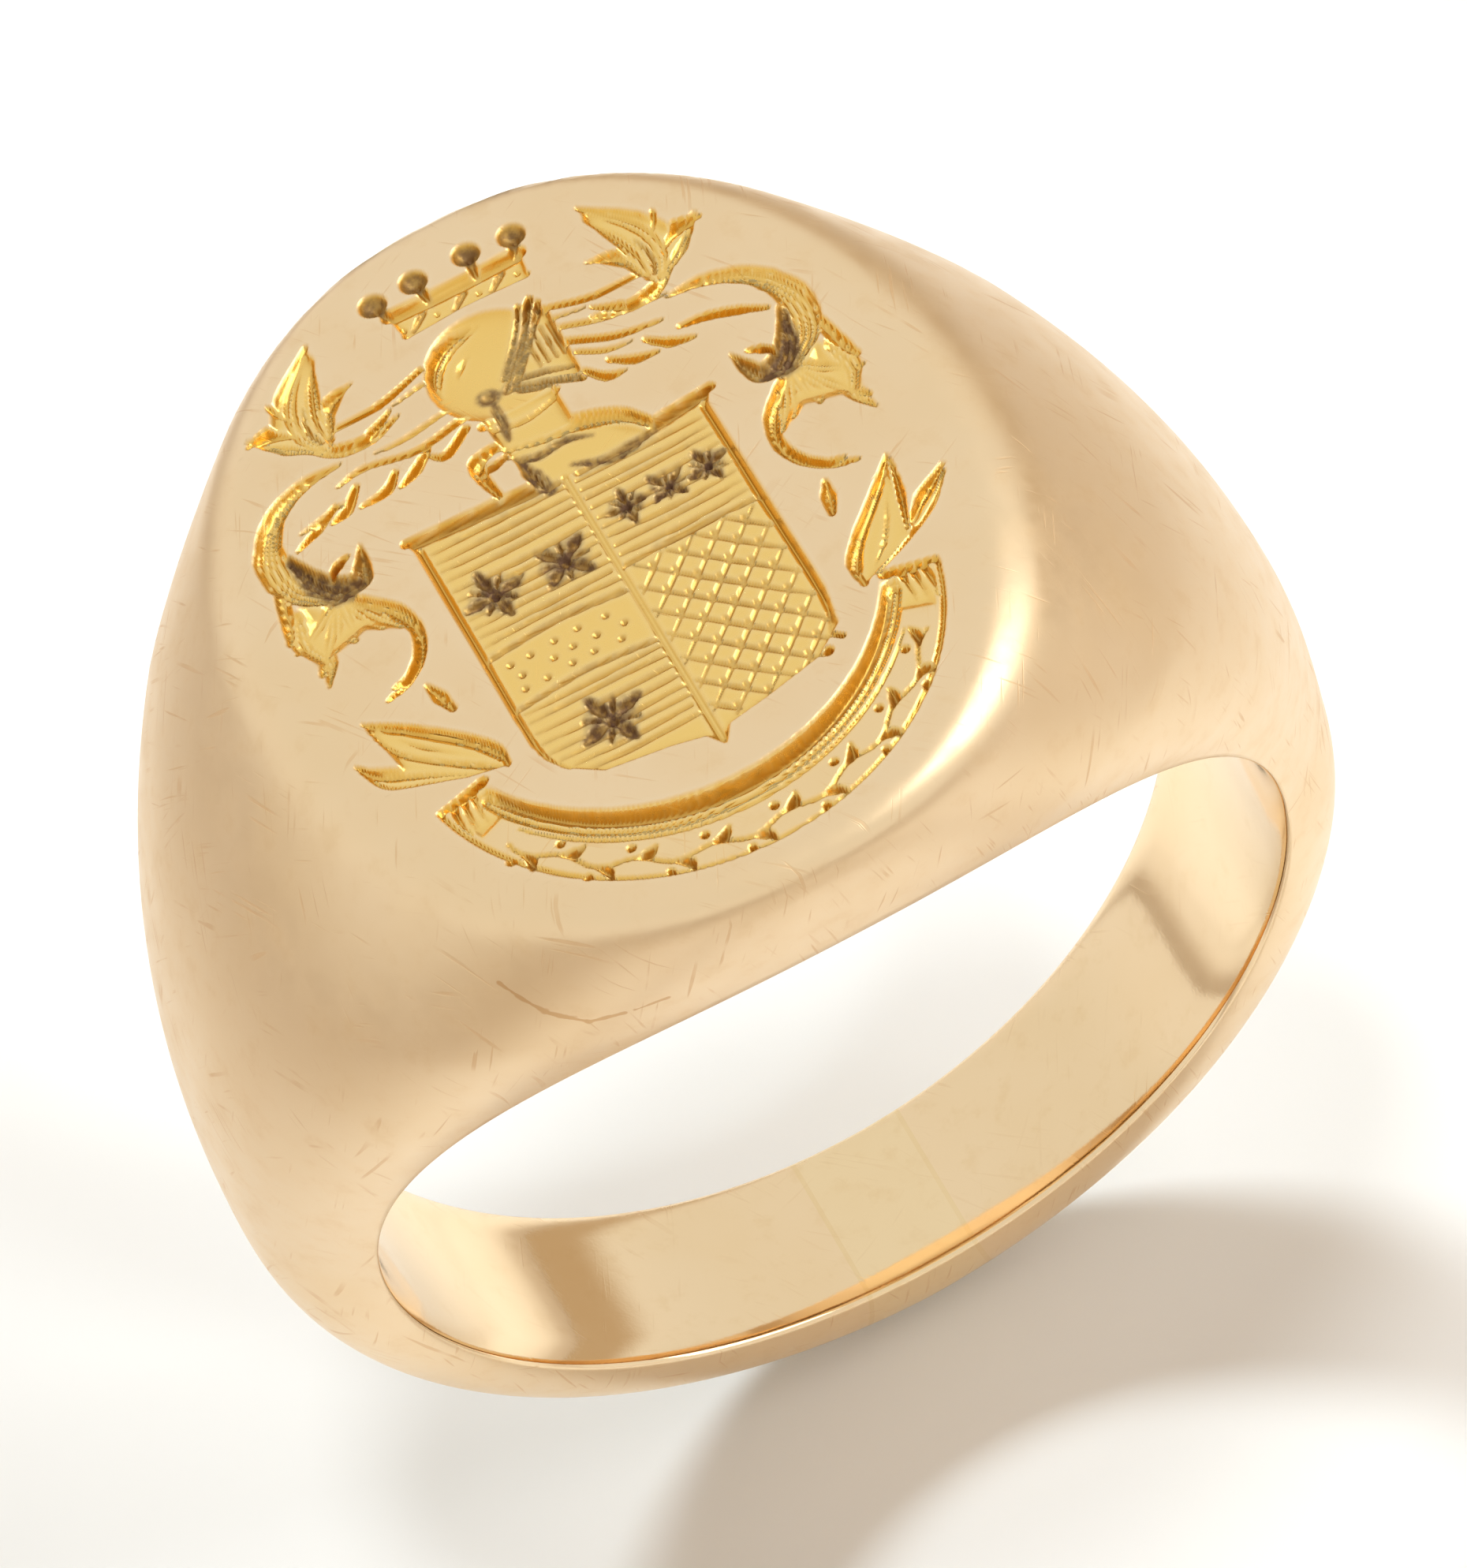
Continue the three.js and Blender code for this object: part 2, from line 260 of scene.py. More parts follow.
class Plate:
    """The table while it is cut: depth and dark residue at each grid point."""

    def __init__(self, x, y):
        self.x = x
        self.y = y
        self.depth = np.zeros_like(x)
        self.residue = np.zeros_like(x)

    def near(self, points, reach):
        low = np.min(points, 0) - reach
        high = np.max(points, 0) + reach
        columns = slice(*np.searchsorted(self.x[:, 0], (low[0], high[0])))
        rows = slice(*np.searchsorted(self.y[0], (low[1], high[1])))
        return columns, rows

    def cut(self, where, depth, residue=0.0):
        if residue:
            dirty = residue * smoothstep(depth, 0.04, 0.14)
            self.residue[where] = np.maximum(self.residue[where], dirty)
        self.depth[where] = np.maximum(self.depth[where], depth)

    def stroke(self, points, widths, depth, ridges=0, residue=0.0, jitter=0.035):
        """A cut along a smooth line. widths are full widths, spread evenly along it. ridges run along it."""
        line = smooth_line(points)
        along = np.linspace(0, 1, len(line))
        width = np.interp(along, np.linspace(0, 1, len(widths)), widths)
        width = width * (1 + jitter * hand.standard_normal(len(line)))
        where = self.near(line, max(widths))
        x, y = self.x[where], self.y[where]
        across = np.full_like(x, FAR)
        side = np.zeros_like(x)
        local = np.zeros_like(x)
        for k in range(len(line) - 1):
            step = line[k + 1] - line[k]
            share, away_x, away_y = beside(x, y, line[k], line[k + 1])
            half = np.maximum(width[k] + share * (width[k + 1] - width[k]), LEAST_WIDTH) / 2
            here = np.hypot(away_x, away_y) / half
            nearer = here < across
            across = np.where(nearer, here, across)
            side = np.where(nearer, np.sign(step[0] * away_y - step[1] * away_x), side)
            local = np.where(nearer, half, local)
        inside = np.clip(1 - np.minimum(across, 1) ** CUT_ROUNDNESS, 0, 1)
        shape = depth * (local / (max(widths) / 2)) ** 0.5 * inside
        if ridges:
            phase = (side * np.minimum(across, 1) + 1) * math.pi * ridges / 2
            shape = shape * (0.5 + 0.5 * np.abs(np.sin(phase)) ** RIDGE_ROUNDNESS)
        self.cut(where, shape, residue)

    def inside(self, corners):
        """Where a polygon is on the grid, and each point's distance inside its edge."""
        corners = np.array(corners, float)
        where = self.near(corners, 0.1)
        x, y = self.x[where], self.y[where]
        within = np.zeros_like(x, bool)
        distance = np.full_like(x, FAR)
        for start, end in zip(corners, np.roll(corners, -1, 0)):
            step = end - start
            _, away_x, away_y = beside(x, y, start, end)
            distance = np.minimum(distance, np.hypot(away_x, away_y))
            rise = step[1] if abs(step[1]) > 1e-9 else 1e-9
            crossing = (start[1] > y) != (end[1] > y)
            within ^= crossing & (x < start[0] + step[0] * (y - start[1]) / rise)
        return where, np.where(within, distance, 0)

    def strokes(self, cuts, place=list):
        """Many strokes: each is its points, moved by place, and then the rest of stroke's settings."""
        for points, *settings in cuts:
            self.stroke(place(points), *settings)

    def area(self, corners, depth, wall=0.1, residue=0.0):
        where, distance = self.inside(corners)
        self.cut(where, depth * smoothstep(distance, 0, wall), residue)

    def bowl(self, centre, radii, depth, steepness=0.5, residue=0.0):
        where = self.near([centre], max(radii) + 0.05)
        share_x = (self.x[where] - centre[0]) / radii[0]
        share_y = (self.y[where] - centre[1]) / radii[1]
        away = share_x**2 + share_y**2
        self.cut(where, depth * np.clip(1 - away, 0, 1) ** steepness, residue)


def arc_points(centre, radius, start, end, count=25):
    """Points on a circle, by angle in degrees from straight down, towards the right."""
    angles = np.radians(np.linspace(start, end, count))
    return [(centre[0] + radius * math.sin(a), centre[1] - radius * math.cos(a)) for a in angles]


def cut_coronet(plate):
    plate.area([(-1.56, 7.08), (1.22, 7.04), (1.11, 6.24), (-0.2, 6.3), (-1.45, 6.22)], 0.15, 0.08)
    plate.stroke([(-1.5, 6.92), (-0.2, 6.86), (1.15, 6.9)], [0.34, 0.3, 0.34], 0.27, 1)
    plate.stroke([(-1.42, 6.32), (-0.2, 6.38), (1.08, 6.32)], [0.12, 0.1, 0.12], 0.2)
    for x in (-1.1, -0.25, 0.52):
        plate.stroke([(x - 0.14, 6.44), (x + 0.16, 6.74)], [0.16, 0.24], 0.27, residue=0.35)
    for x in (-1.38, -0.7, 0.16, 0.95):
        plate.bowl((x, 6.55), (0.08, 0.08), 0.24)
    for x, y in ((-1.66, 7.34), (-0.79, 7.41), (0.31, 7.43), (1.21, 7.34)):
        plate.bowl((x, y), (0.28, 0.28), 0.24, 0.7, 0.8)
        plate.bowl((x + 0.02, y - 0.02), (0.13, 0.13), 0.33, 0.6, 0.5)
        plate.stroke([(x * 0.97, y - 0.2), (x * 0.9, 6.98)], [0.14, 0.2], 0.24, residue=0.3)


def cut_helm(plate):
    """A closed helm with a barred visor, over a bust with drapery."""
    plate.bowl((-0.34, 4.75), (1.27, 1.3), 0.31, 0.5)
    plate.bowl((-0.68, 4.28), (0.26, 0.24), 0.36, 0.6, 0.8)
    plate.area([(-1.05, 3.75), (0.45, 3.75), (0.46, 2.7), (-1.0, 2.7)], 0.2, 0.12)
    plate.area([(0.1, 4.5), (0.95, 5.75), (1.09, 5.3), (1.04, 3.6), (0.3, 4.0)], 0.2, 0.1)
    plate.area([(-1.0, 2.85), (0.44, 2.88), (1.72, 1.7), (0.0, 1.62), (-0.72, 1.5)], 0.2, 0.12)
    plate.stroke(arc_points((-0.34, 4.75), 1.08, 170, 275), [0.1, 0.3, 0.36, 0.3, 0.1], 0.36, 2)
    plate.stroke(arc_points((-0.3, 4.7), 0.74, 185, 265), [0.08, 0.2, 0.08], 0.34)
    for start, end, width in (
        ((-0.3, 4.25), (0.88, 5.75), 0.26),
        ((-0.1, 4.3), (0.98, 5.6), 0.2),
        ((-0.25, 4.55), (0.62, 5.7), 0.16),
        ((-0.2, 4.25), (0.95, 3.62), 0.24),
        ((-0.1, 4.1), (0.98, 3.45), 0.18),
        ((0.0, 4.38), (0.95, 3.98), 0.16),
    ):
        plate.stroke([start, end], [width, width * 0.9, width * 0.5], 0.42, 2, 0.55)
    for x in (0.45, 0.62, 0.79, 0.95):
        plate.stroke([(x, 4.35), (x + 0.02, 5.2)], [0.08, 0.12, 0.08], 0.36, residue=0.3)
    collar = [(-1.15, 2.95), (-0.3, 2.75), (0.5, 2.62), (1.2, 2.3), (1.62, 1.78)]
    plate.strokes((
        ([(-0.66, 4.05), (-0.7, 3.5), (-0.76, 3.1)], [0.2, 0.24, 0.14], 0.36, 2, 0.75),
        ([(-1.08, 3.5), (-0.3, 3.36), (0.42, 3.52)], [0.16, 0.2, 0.16], 0.3),
        (collar, [0.2, 0.3, 0.34, 0.3, 0.2], 0.31, 4),
        ([(-0.95, 2.62), (-0.45, 2.45), (0.1, 2.5), (0.6, 2.3)], [0.16, 0.22, 0.2, 0.08], 0.36, 2, 0.85),
        ([(-0.78, 2.45), (-0.7, 2.0), (-0.6, 1.6)], [0.2, 0.4, 0.3], 0.36, 3, 0.9),
        ([(0.0, 1.9), (0.6, 1.64), (1.1, 1.66), (1.62, 1.72)], [0.12, 0.24, 0.26, 0.12], 0.37, 2, 0.9),
        ([(-1.1, 2.95), (-1.5, 2.8), (-1.55, 2.45), (-1.45, 1.9)], [0.2, 0.34, 0.24, 0.14], 0.3, 3),
        ([(-1.65, 2.62), (-1.3, 2.55), (-1.05, 2.6)], [0.1, 0.2, 0.1], 0.28, 0, 0.2),
    ))


TUFT_LEAVES = (
    ([(-3.75, 4.8), (-4.02, 5.5), (-3.85, 6.3), (-3.1, 7.2)], [0.32, 0.62, 0.52, 0.08], 0.27, 4),
    ([(-3.6, 4.9), (-3.62, 5.6), (-3.42, 6.3), (-3.12, 6.9)], [0.2, 0.42, 0.34, 0.06], 0.3, 3),
    ([(-3.8, 4.9), (-4.3, 5.25), (-4.92, 5.8)], [0.34, 0.46, 0.1], 0.26, 4),
    ([(-4.05, 5.5), (-4.5, 5.72), (-4.95, 5.66)], [0.2, 0.28, 0.1], 0.3),
    ([(-4.0, 5.9), (-4.2, 6.15), (-4.28, 6.3)], [0.2, 0.16, 0.06], 0.22),
    ([(-3.55, 5.1), (-3.3, 5.7), (-2.72, 5.9)], [0.26, 0.3, 0.05], 0.27, 3),
    ([(-3.95, 4.88), (-3.5, 4.56), (-2.9, 4.5), (-2.28, 4.68)], [0.2, 0.34, 0.28, 0.06], 0.3, 3),
    ([(-2.9, 4.62), (-2.55, 4.76), (-2.35, 4.9)], [0.14, 0.12, 0.04], 0.2),
    ([(-3.5, 5.08), (-2.5, 5.1), (-1.5, 5.42)], [0.1, 0.15, 0.1], 0.2),
    ([(-2.3, 4.94), (-1.62, 5.08)], [0.05, 0.09], 0.12),
    ([(-3.72, 5.05), (-3.84, 5.5), (-3.72, 6.0)], [0.1, 0.16, 0.06], 0.33, 0, 0.3),
)


def cut_tuft(plate, place):
    """Feathery leaves at a top corner; place turns left-hand points into the wanted side's."""
    body = [(-3.8, 4.66), (-4.5, 5.3), (-4.93, 5.8), (-4.45, 5.84), (-4.3, 6.2), (-3.95, 6.62), (-3.1, 7.22)]
    body += [(-3.05, 6.8), (-3.36, 6.15), (-3.42, 5.85), (-2.72, 5.92), (-3.25, 5.35), (-3.4, 5.0)]
    plate.area(place(body), 0.15, 0.16)
    plate.strokes(TUFT_LEAVES, place)


SCROLL_LEAVES = (
    ([(-3.65, 4.28), (-4.45, 4.22), (-5.2, 3.8), (-5.62, 3.0), (-5.5, 2.2), (-4.95, 1.62)],
     [0.08, 0.3, 0.44, 0.64, 0.74, 0.5], 0.32, 6),
    ([(-5.6, 2.7), (-5.78, 2.1), (-5.9, 1.4), (-6.06, 1.0)], [0.12, 0.24, 0.3, 0.1], 0.24, 3),
    ([(-5.34, 2.8), (-5.12, 2.1), (-4.8, 1.72), (-4.4, 1.66)], [0.2, 0.46, 0.5, 0.3], 0.38, 4, 0.9),
    ([(-4.95, 1.6), (-4.4, 1.62), (-4.2, 1.95), (-4.08, 2.34)], [0.4, 0.46, 0.3, 0.05], 0.34, 4, 0.55),
    ([(-4.85, 1.95), (-4.6, 2.14), (-4.34, 2.26)], [0.12, 0.18, 0.05], 0.3, 0, 0.3),
    ([(-5.7, 1.5), (-5.8, 0.9), (-5.6, 0.3), (-5.82, -0.3)], [0.3, 0.5, 0.36, 0.06], 0.25, 4),
    ([(-5.3, 1.4), (-5.2, 0.8), (-5.0, 0.4)], [0.16, 0.32, 0.12], 0.22, 3),
    ([(-4.9, 1.3), (-4.7, 0.8), (-4.45, 0.4)], [0.14, 0.3, 0.12], 0.22, 3),
    ([(-4.55, 1.2), (-4.12, 0.62), (-3.95, 0.0), (-4.15, -0.6), (-4.6, -1.02), (-5.05, -1.2)],
     [0.2, 0.32, 0.26, 0.24, 0.2, 0.06], 0.3, 3),
    ([(-4.5, -0.92), (-4.85, -1.0)], [0.1, 0.05], 0.2),
    ([(-4.3, -1.3), (-4.2, -1.65), (-4.1, -2.02)], [0.1, 0.3, 0.16], 0.22, 3),
)


def cut_scroll(plate, place):
    """The big acanthus scroll at a side."""
    lobe = [(-5.55, 1.9), (-6.1, 1.05), (-5.95, 0.6), (-5.82, -0.25), (-5.35, 0.25), (-4.75, 0.42)]
    lobe += [(-4.1, 0.05), (-3.95, 0.3), (-4.1, 0.9), (-4.5, 1.3), (-5.0, 1.6)]
    plate.area(place(lobe), 0.21, 0.4)
    plate.strokes(SCROLL_LEAVES, place)
    for tip in ((-6.02, 0.72), (-5.84, 0.02), (-5.4, 0.4), (-4.95, 0.5), (-4.5, 0.42), (-4.15, 0.2)):
        middle = ((tip[0] - 4.85) / 2, (tip[1] + 1.75) / 2)
        plate.stroke(place([(-4.9, 1.6), middle, tip]), [0.16, 0.34, 0.08], 0.3, 2)


STREAMERS = (
    ([(-1.3, 4.28), (-2.4, 4.1), (-3.0, 4.12)], [0.1, 0.12, 0.04], 0.12),
    ([(-1.25, 3.92), (-2.3, 3.72), (-3.3, 3.92), (-3.9, 3.8)], [0.16, 0.14, 0.12, 0.05], 0.18),
    ([(1.1, 4.8), (1.95, 4.5), (3.06, 4.36)], [0.12, 0.14, 0.06], 0.14),
    ([(1.08, 4.42), (1.9, 4.0), (2.75, 3.84)], [0.16, 0.16, 0.06], 0.2),
    ([(1.1, 4.1), (1.6, 3.8), (2.1, 3.72)], [0.1, 0.12, 0.04], 0.14),
    ([(-1.35, 3.66), (-1.9, 3.3), (-2.2, 3.5)], [0.16, 0.2, 0.06], 0.22),
    ([(-2.15, 3.62), (-2.5, 3.32), (-2.9, 3.12)], [0.14, 0.24, 0.08], 0.22),
    ([(-2.85, 3.5), (-3.15, 3.2), (-3.7, 3.12)], [0.12, 0.22, 0.08], 0.22),
    ([(-3.6, 3.62), (-3.95, 3.22), (-4.3, 3.1)], [0.12, 0.24, 0.08], 0.22),
    ([(-4.1, 3.42), (-4.6, 3.12), (-5.12, 2.86)], [0.1, 0.2, 0.05], 0.22),
    ([(-3.9, 3.42), (-4.4, 3.3), (-4.9, 3.2)], [0.05, 0.12, 0.05], 0.14),
    ([(1.06, 3.6), (1.35, 3.24), (1.7, 3.16)], [0.12, 0.22, 0.06], 0.22),
    ([(1.55, 3.56), (1.95, 3.3), (2.4, 3.2)], [0.12, 0.22, 0.08], 0.22),
    ([(2.3, 3.6), (2.65, 3.28), (3.1, 3.12)], [0.12, 0.24, 0.08], 0.22),
    ([(2.95, 3.5), (3.5, 3.42), (4.05, 3.2), (4.52, 2.94)], [0.08, 0.2, 0.2, 0.08], 0.24),
)


SHIELD_LEFT = -3.31
SHIELD_RIGHT = 2.7
SHIELD_FLOOR = 0.17
PALE_X = -0.25
BAND_HIGH = -1.3
BAND_LOW = -2.62
TRELLIS_TOP = -0.78
TRELLIS_PITCH = 0.62
SHIELD = (
    (-3.42, 2.02), (-3.2, 1.88), (-1.6, 1.92), (-0.7, 1.8), (0.4, 1.85), (1.7, 1.9),
    (2.6, 1.88), (2.92, 2.02), (2.7, 1.6), (2.72, -3.4), (2.58, -4.3), (1.94, -4.8),
    (0.8, -5.06), (0.0, -5.2), (-0.25, -5.62), (-0.5, -5.22), (-1.1, -5.06), (-2.34, -4.86),
    (-2.98, -4.36), (-3.27, -3.6), (-3.31, 1.6),
)


def cut_flower(plate, centre, size, turn):
    """Four broad petals with small leaves between them, dark with residue."""
    plate.bowl(centre, (size * 0.85, size * 0.85), 0.2, 0.3, 0.35)
    for number in range(8):
        angle = math.radians(turn + 45 * number)
        reach = size * (1.0 if number % 2 == 0 else 0.8)
        tip = (centre[0] + reach * math.cos(angle), centre[1] + reach * math.sin(angle))
        middle = (centre[0] + 0.6 * (tip[0] - centre[0]), centre[1] + 0.6 * (tip[1] - centre[1]))
        width = size * (0.62 if number % 2 == 0 else 0.22)
        plate.stroke([centre, middle, tip], [width * 0.5, width, width * 0.5], 0.36, 1 - number % 2, 0.9)
    plate.bowl(centre, (size * 0.26, size * 0.26), 0.42, 0.6, 1.0)


def cut_hatching(plate, left, right):
    """Lines across the shield, but for the stippled band on the left and the trellis on the right."""
    y = 1.5
    while y > -4.75:
        rise = 0.25 + wobble(0.02)
        end_x = left + 0.12 + max(0.0, (-3.9 - y) * 0.8)
        if not BAND_LOW < y < BAND_HIGH + 0.02:
            far_x = PALE_X - 0.12 + wobble(0.04)
            drift = wobble(0.03)
            line = [(end_x, y), (-1.7, y + drift), (far_x, y)]
            plate.stroke(line, [0.1, 0.18, 0.14], 0.27, 0, 0.22)
        if y > TRELLIS_TOP + 0.03:
            drift = wobble(0.03)
            line = [(PALE_X + 0.14, y), (1.2, y + drift), (right - 0.1, y)]
            plate.stroke(line, [0.14, 0.18, 0.1], 0.27, 0, 0.22)
        y -= rise


def cut_stipple(plate, left):
    for y in (BAND_HIGH, BAND_LOW):
        line = [(left + 0.08, y), (-1.7, y + 0.12), (PALE_X - 0.12, y)]
        plate.stroke(line, [0.14, 0.16, 0.14], 0.3, 0, 0.35)
    for first, y in ((-2.85, -1.6), (-2.62, -1.92), (-2.85, -2.24)):
        for x in np.arange(first, PALE_X - 0.3, 0.48):
            spot = (x + wobble(0.05), y + 0.1 * math.sin(3 * x) * 0.3)
            plate.bowl(spot, (0.1, 0.09), 0.27, 0.6, 0.3)


def cut_trellis(plate, right):
    """Crossed lines with a dot in each opening."""
    middle_x, middle_y = 1.2, -2.9
    half_pitch = TRELLIS_PITCH / 2
    for offset in np.arange(-6.0, 6.0, TRELLIS_PITCH):
        for slope in (1, -1):
            line = []
            for x in np.linspace(PALE_X + 0.12, right - 0.08, 25):
                y = middle_y + slope * (x - middle_x) + offset
                low = -4.98 + 0.11 * max(x - 0.4, 0)
                if low < y < TRELLIS_TOP - 0.02:
                    line.append((x, y))
            if len(line) > 3:
                plate.stroke([line[0], line[len(line) // 2], line[-1]], [0.1, 0.14, 0.1], 0.26, 0, 0.25)
    for i in range(-1, 8):
        for j in range(-1, 14):
            x = middle_x + (i - 3) * TRELLIS_PITCH + (half_pitch if j % 2 else 0)
            y = middle_y + (j - 6) * half_pitch + half_pitch
            if PALE_X + 0.3 < x < right - 0.2 and -4.8 < y < -0.95:
                plate.bowl((x, y), (0.1, 0.1), 0.25, 0.6, 0.15)
    line = [(PALE_X + 0.1, TRELLIS_TOP), (middle_x, TRELLIS_TOP + 0.06), (right, TRELLIS_TOP)]
    plate.stroke(line, [0.14, 0.16, 0.14], 0.3, 0, 0.3)


def cut_shield(plate):
    plate.area(SHIELD, SHIELD_FLOOR, 0.12)
    left, right = SHIELD_LEFT + 0.14, SHIELD_RIGHT - 0.13
    left_edge = [(left, 1.7), (left, -1.0), (left + 0.02, -3.6), (left + 0.34, -4.4)]
    right_edge = [(right, 1.7), (right, -1.0), (right, -3.5), (right - 0.2, -4.3)]
    plate.strokes((
        (left_edge, [0.16, 0.16, 0.14, 0.1], 0.27),
        (right_edge, [0.16, 0.16, 0.16, 0.1], 0.27),
        ([(-3.35, 1.86), (-1.6, 1.74), (-0.4, 1.66)], [0.2, 0.28, 0.24], 0.31, 1, 0.3),
        ([(0.0, 1.66), (1.3, 1.72), (2.85, 1.9)], [0.24, 0.28, 0.2], 0.31, 1, 0.3),
    ))
    cut_hatching(plate, left, right)
    cut_stipple(plate, left)
    cut_trellis(plate, right)
    plate.stroke([(PALE_X, 1.7), (PALE_X, -1.5), (PALE_X, -5.3)], [0.22, 0.2, 0.24], 0.31, 2, 0.05)
    cut_flower(plate, (-2.42, 0.02), 0.6, 10)
    cut_flower(plate, (-1.02, -0.03), 0.6, 40)
    cut_flower(plate, (-1.75, -3.75), 0.66, 20)
    for x, turn in ((0.45, 0), (1.27, 35), (2.08, 15)):
        cut_flower(plate, (x, 0.45), 0.42, turn)


RIBBON_OUTER = ((-0.3, -2.86), 5.08)
RIBBON_INNER = ((-0.35, -1.93), 4.37)
SHADE_CENTRE = (-0.35, -1.98)
STEM_STEPS = 56
STEM_SPREAD = 57


def cut_ribbon(plate):
    """A ribbon under the shield: its face, the deep shade along its top, and its turned ends."""
    outer = arc_points(*RIBBON_OUTER, -77, 77)
    inner = arc_points(*RIBBON_INNER, -64, 64)
    plate.area(outer + inner[::-1], 0.035, 0.05)
    shade = [0.42, 0.52, 0.6, 0.66, 0.66, 0.62, 0.56, 0.5, 0.42]
    rim = [0.1, 0.11, 0.08, 0.07, 0.09, 0.11, 0.1]
    plate.strokes((
        (arc_points(SHADE_CENTRE, 4.6, -62, 62), shade, 0.34, 4, 0, 0.015),
        (arc_points(SHADE_CENTRE, 4.47, -60, 60), [0.12, 0.2, 0.24, 0.24, 0.16, 0.12], 0.39, 0, 0.2, 0.02),
        (arc_points((-0.35, -2.1), 4.86, -52, 52), [0.05, 0.1, 0.12, 0.12, 0.1, 0.05], 0.16, 0, 0, 0.03),
        (arc_points(*RIBBON_OUTER, -76, 76), rim, 0.14, 0, 0, 0.03),
    ))
    for side in (-1, 1):
        end = arc_points(*RIBBON_OUTER, side * 77, side * 64, 6)
        end += arc_points(*RIBBON_INNER, side * 52, side * 64, 5)
        plate.area(end, 0.13, 0.3)
        start_x = DESIGN_X + side * 4.95
        fold = [(start_x, -4.02), (start_x - side * 0.5, -3.92), (start_x - side * 0.98, -3.8)]
        plate.stroke(fold, [0.08, 0.14, 0.16], 0.26)
        for k in range(3):
            x = start_x - side * (0.28 + 0.2 * k)
            line = [(x, -4.0), (x + side * 0.02, -4.35), (x - side * 0.06, -4.75)]
            plate.stroke(line, [0.16, 0.13, 0.04], 0.22)
    cut_vine(plate)


def cut_vine(plate):
    """A rippled stem along the ribbon, with a leaf and a bead on each side in turn."""
    stem = []
    for number in range(STEM_STEPS + 1):
        turn = -STEM_SPREAD + 2 * STEM_SPREAD * number / STEM_STEPS
        ripple = 0.09 * math.sin(number * math.pi / 4)
        stem += arc_points((-0.32, -2.62), 4.94 + ripple, turn, turn, 1)
    plate.stroke(stem, [0.07, 0.08, 0.07], 0.13, 0, 0.2, 0.05)
    for number in range(2, STEM_STEPS, 4):
        middle = np.array(stem[number])
        along = np.array(stem[number + 1]) - middle
        along = along / np.hypot(*along)
        outward = np.array([along[1], -along[0]]) * (1 if number % 8 < 4 else -1)
        tip = middle + 0.3 * along + 0.3 * outward
        bend = middle + 0.2 * along + 0.1 * outward
        plate.stroke([middle, bend, tip], [0.08, 0.22, 0.05], 0.27, 0, 0.35)
        bead = middle - 0.14 * along + 0.2 * outward
        plate.bowl(bead, (0.08, 0.08), 0.24, 0.6, 0.3)


TAIL_FOLDS = (
    ([(-5.64, -1.42), (-5.0, -1.95), (-4.2, -2.75), (-3.82, -3.3), (-3.75, -3.72)],
     [0.06, 0.2, 0.24, 0.26, 0.1], 0.28, 3),
    ([(-5.62, -1.5), (-5.38, -2.2), (-4.9, -2.75), (-4.2, -3.35), (-3.85, -3.62)],
     [0.05, 0.18, 0.2, 0.22, 0.1], 0.26, 3),
    ([(-6.12, -2.22), (-5.8, -2.62), (-5.2, -2.95), (-4.4, -3.45)], [0.06, 0.2, 0.2, 0.1], 0.24, 3),
    ([(-6.1, -2.3), (-5.78, -2.9), (-5.1, -3.22), (-4.5, -3.5)], [0.05, 0.16, 0.16, 0.06], 0.22),
    ([(-5.3, -1.85), (-4.9, -2.4), (-4.3, -3.0)], [0.05, 0.14, 0.06], 0.2),
    ([(4.88, -1.42), (4.4, -2.0), (3.7, -2.75), (3.35, -3.3), (3.32, -3.8)],
     [0.06, 0.2, 0.26, 0.3, 0.12], 0.28, 3),
    ([(4.9, -1.5), (4.72, -2.3), (4.5, -3.05)], [0.05, 0.18, 0.1], 0.28, 3),
    ([(4.6, -1.95), (4.3, -2.6), (4.0, -3.1), (3.5, -3.65)], [0.05, 0.16, 0.18, 0.1], 0.22, 3),
    ([(5.66, -2.18), (5.1, -2.55), (4.62, -3.0)], [0.06, 0.22, 0.12], 0.26, 3),
    ([(5.62, -2.3), (5.05, -2.9), (4.3, -3.35), (3.6, -3.7)], [0.06, 0.16, 0.16, 0.06], 0.22),
)


def cut_tails(plate):
    """The ribbon's loose ends, forked, at both sides."""
    left = [(-5.66, -1.37), (-5.1, -1.75), (-4.3, -2.6), (-3.82, -3.12), (-3.73, -3.76), (-4.5, -3.58)]
    left += [(-5.75, -3.0), (-6.17, -2.19), (-5.45, -2.62)]
    right = [(4.91, -1.37), (4.3, -2.0), (3.5, -2.85), (3.2, -3.4), (3.28, -3.86), (4.1, -3.45)]
    right += [(5.1, -2.95), (5.7, -2.15), (4.9, -2.5), (4.52, -3.08)]
    plate.area(left, 0.13, 0.1)
    plate.area(right, 0.13, 0.1)
    plate.strokes(TAIL_FOLDS)


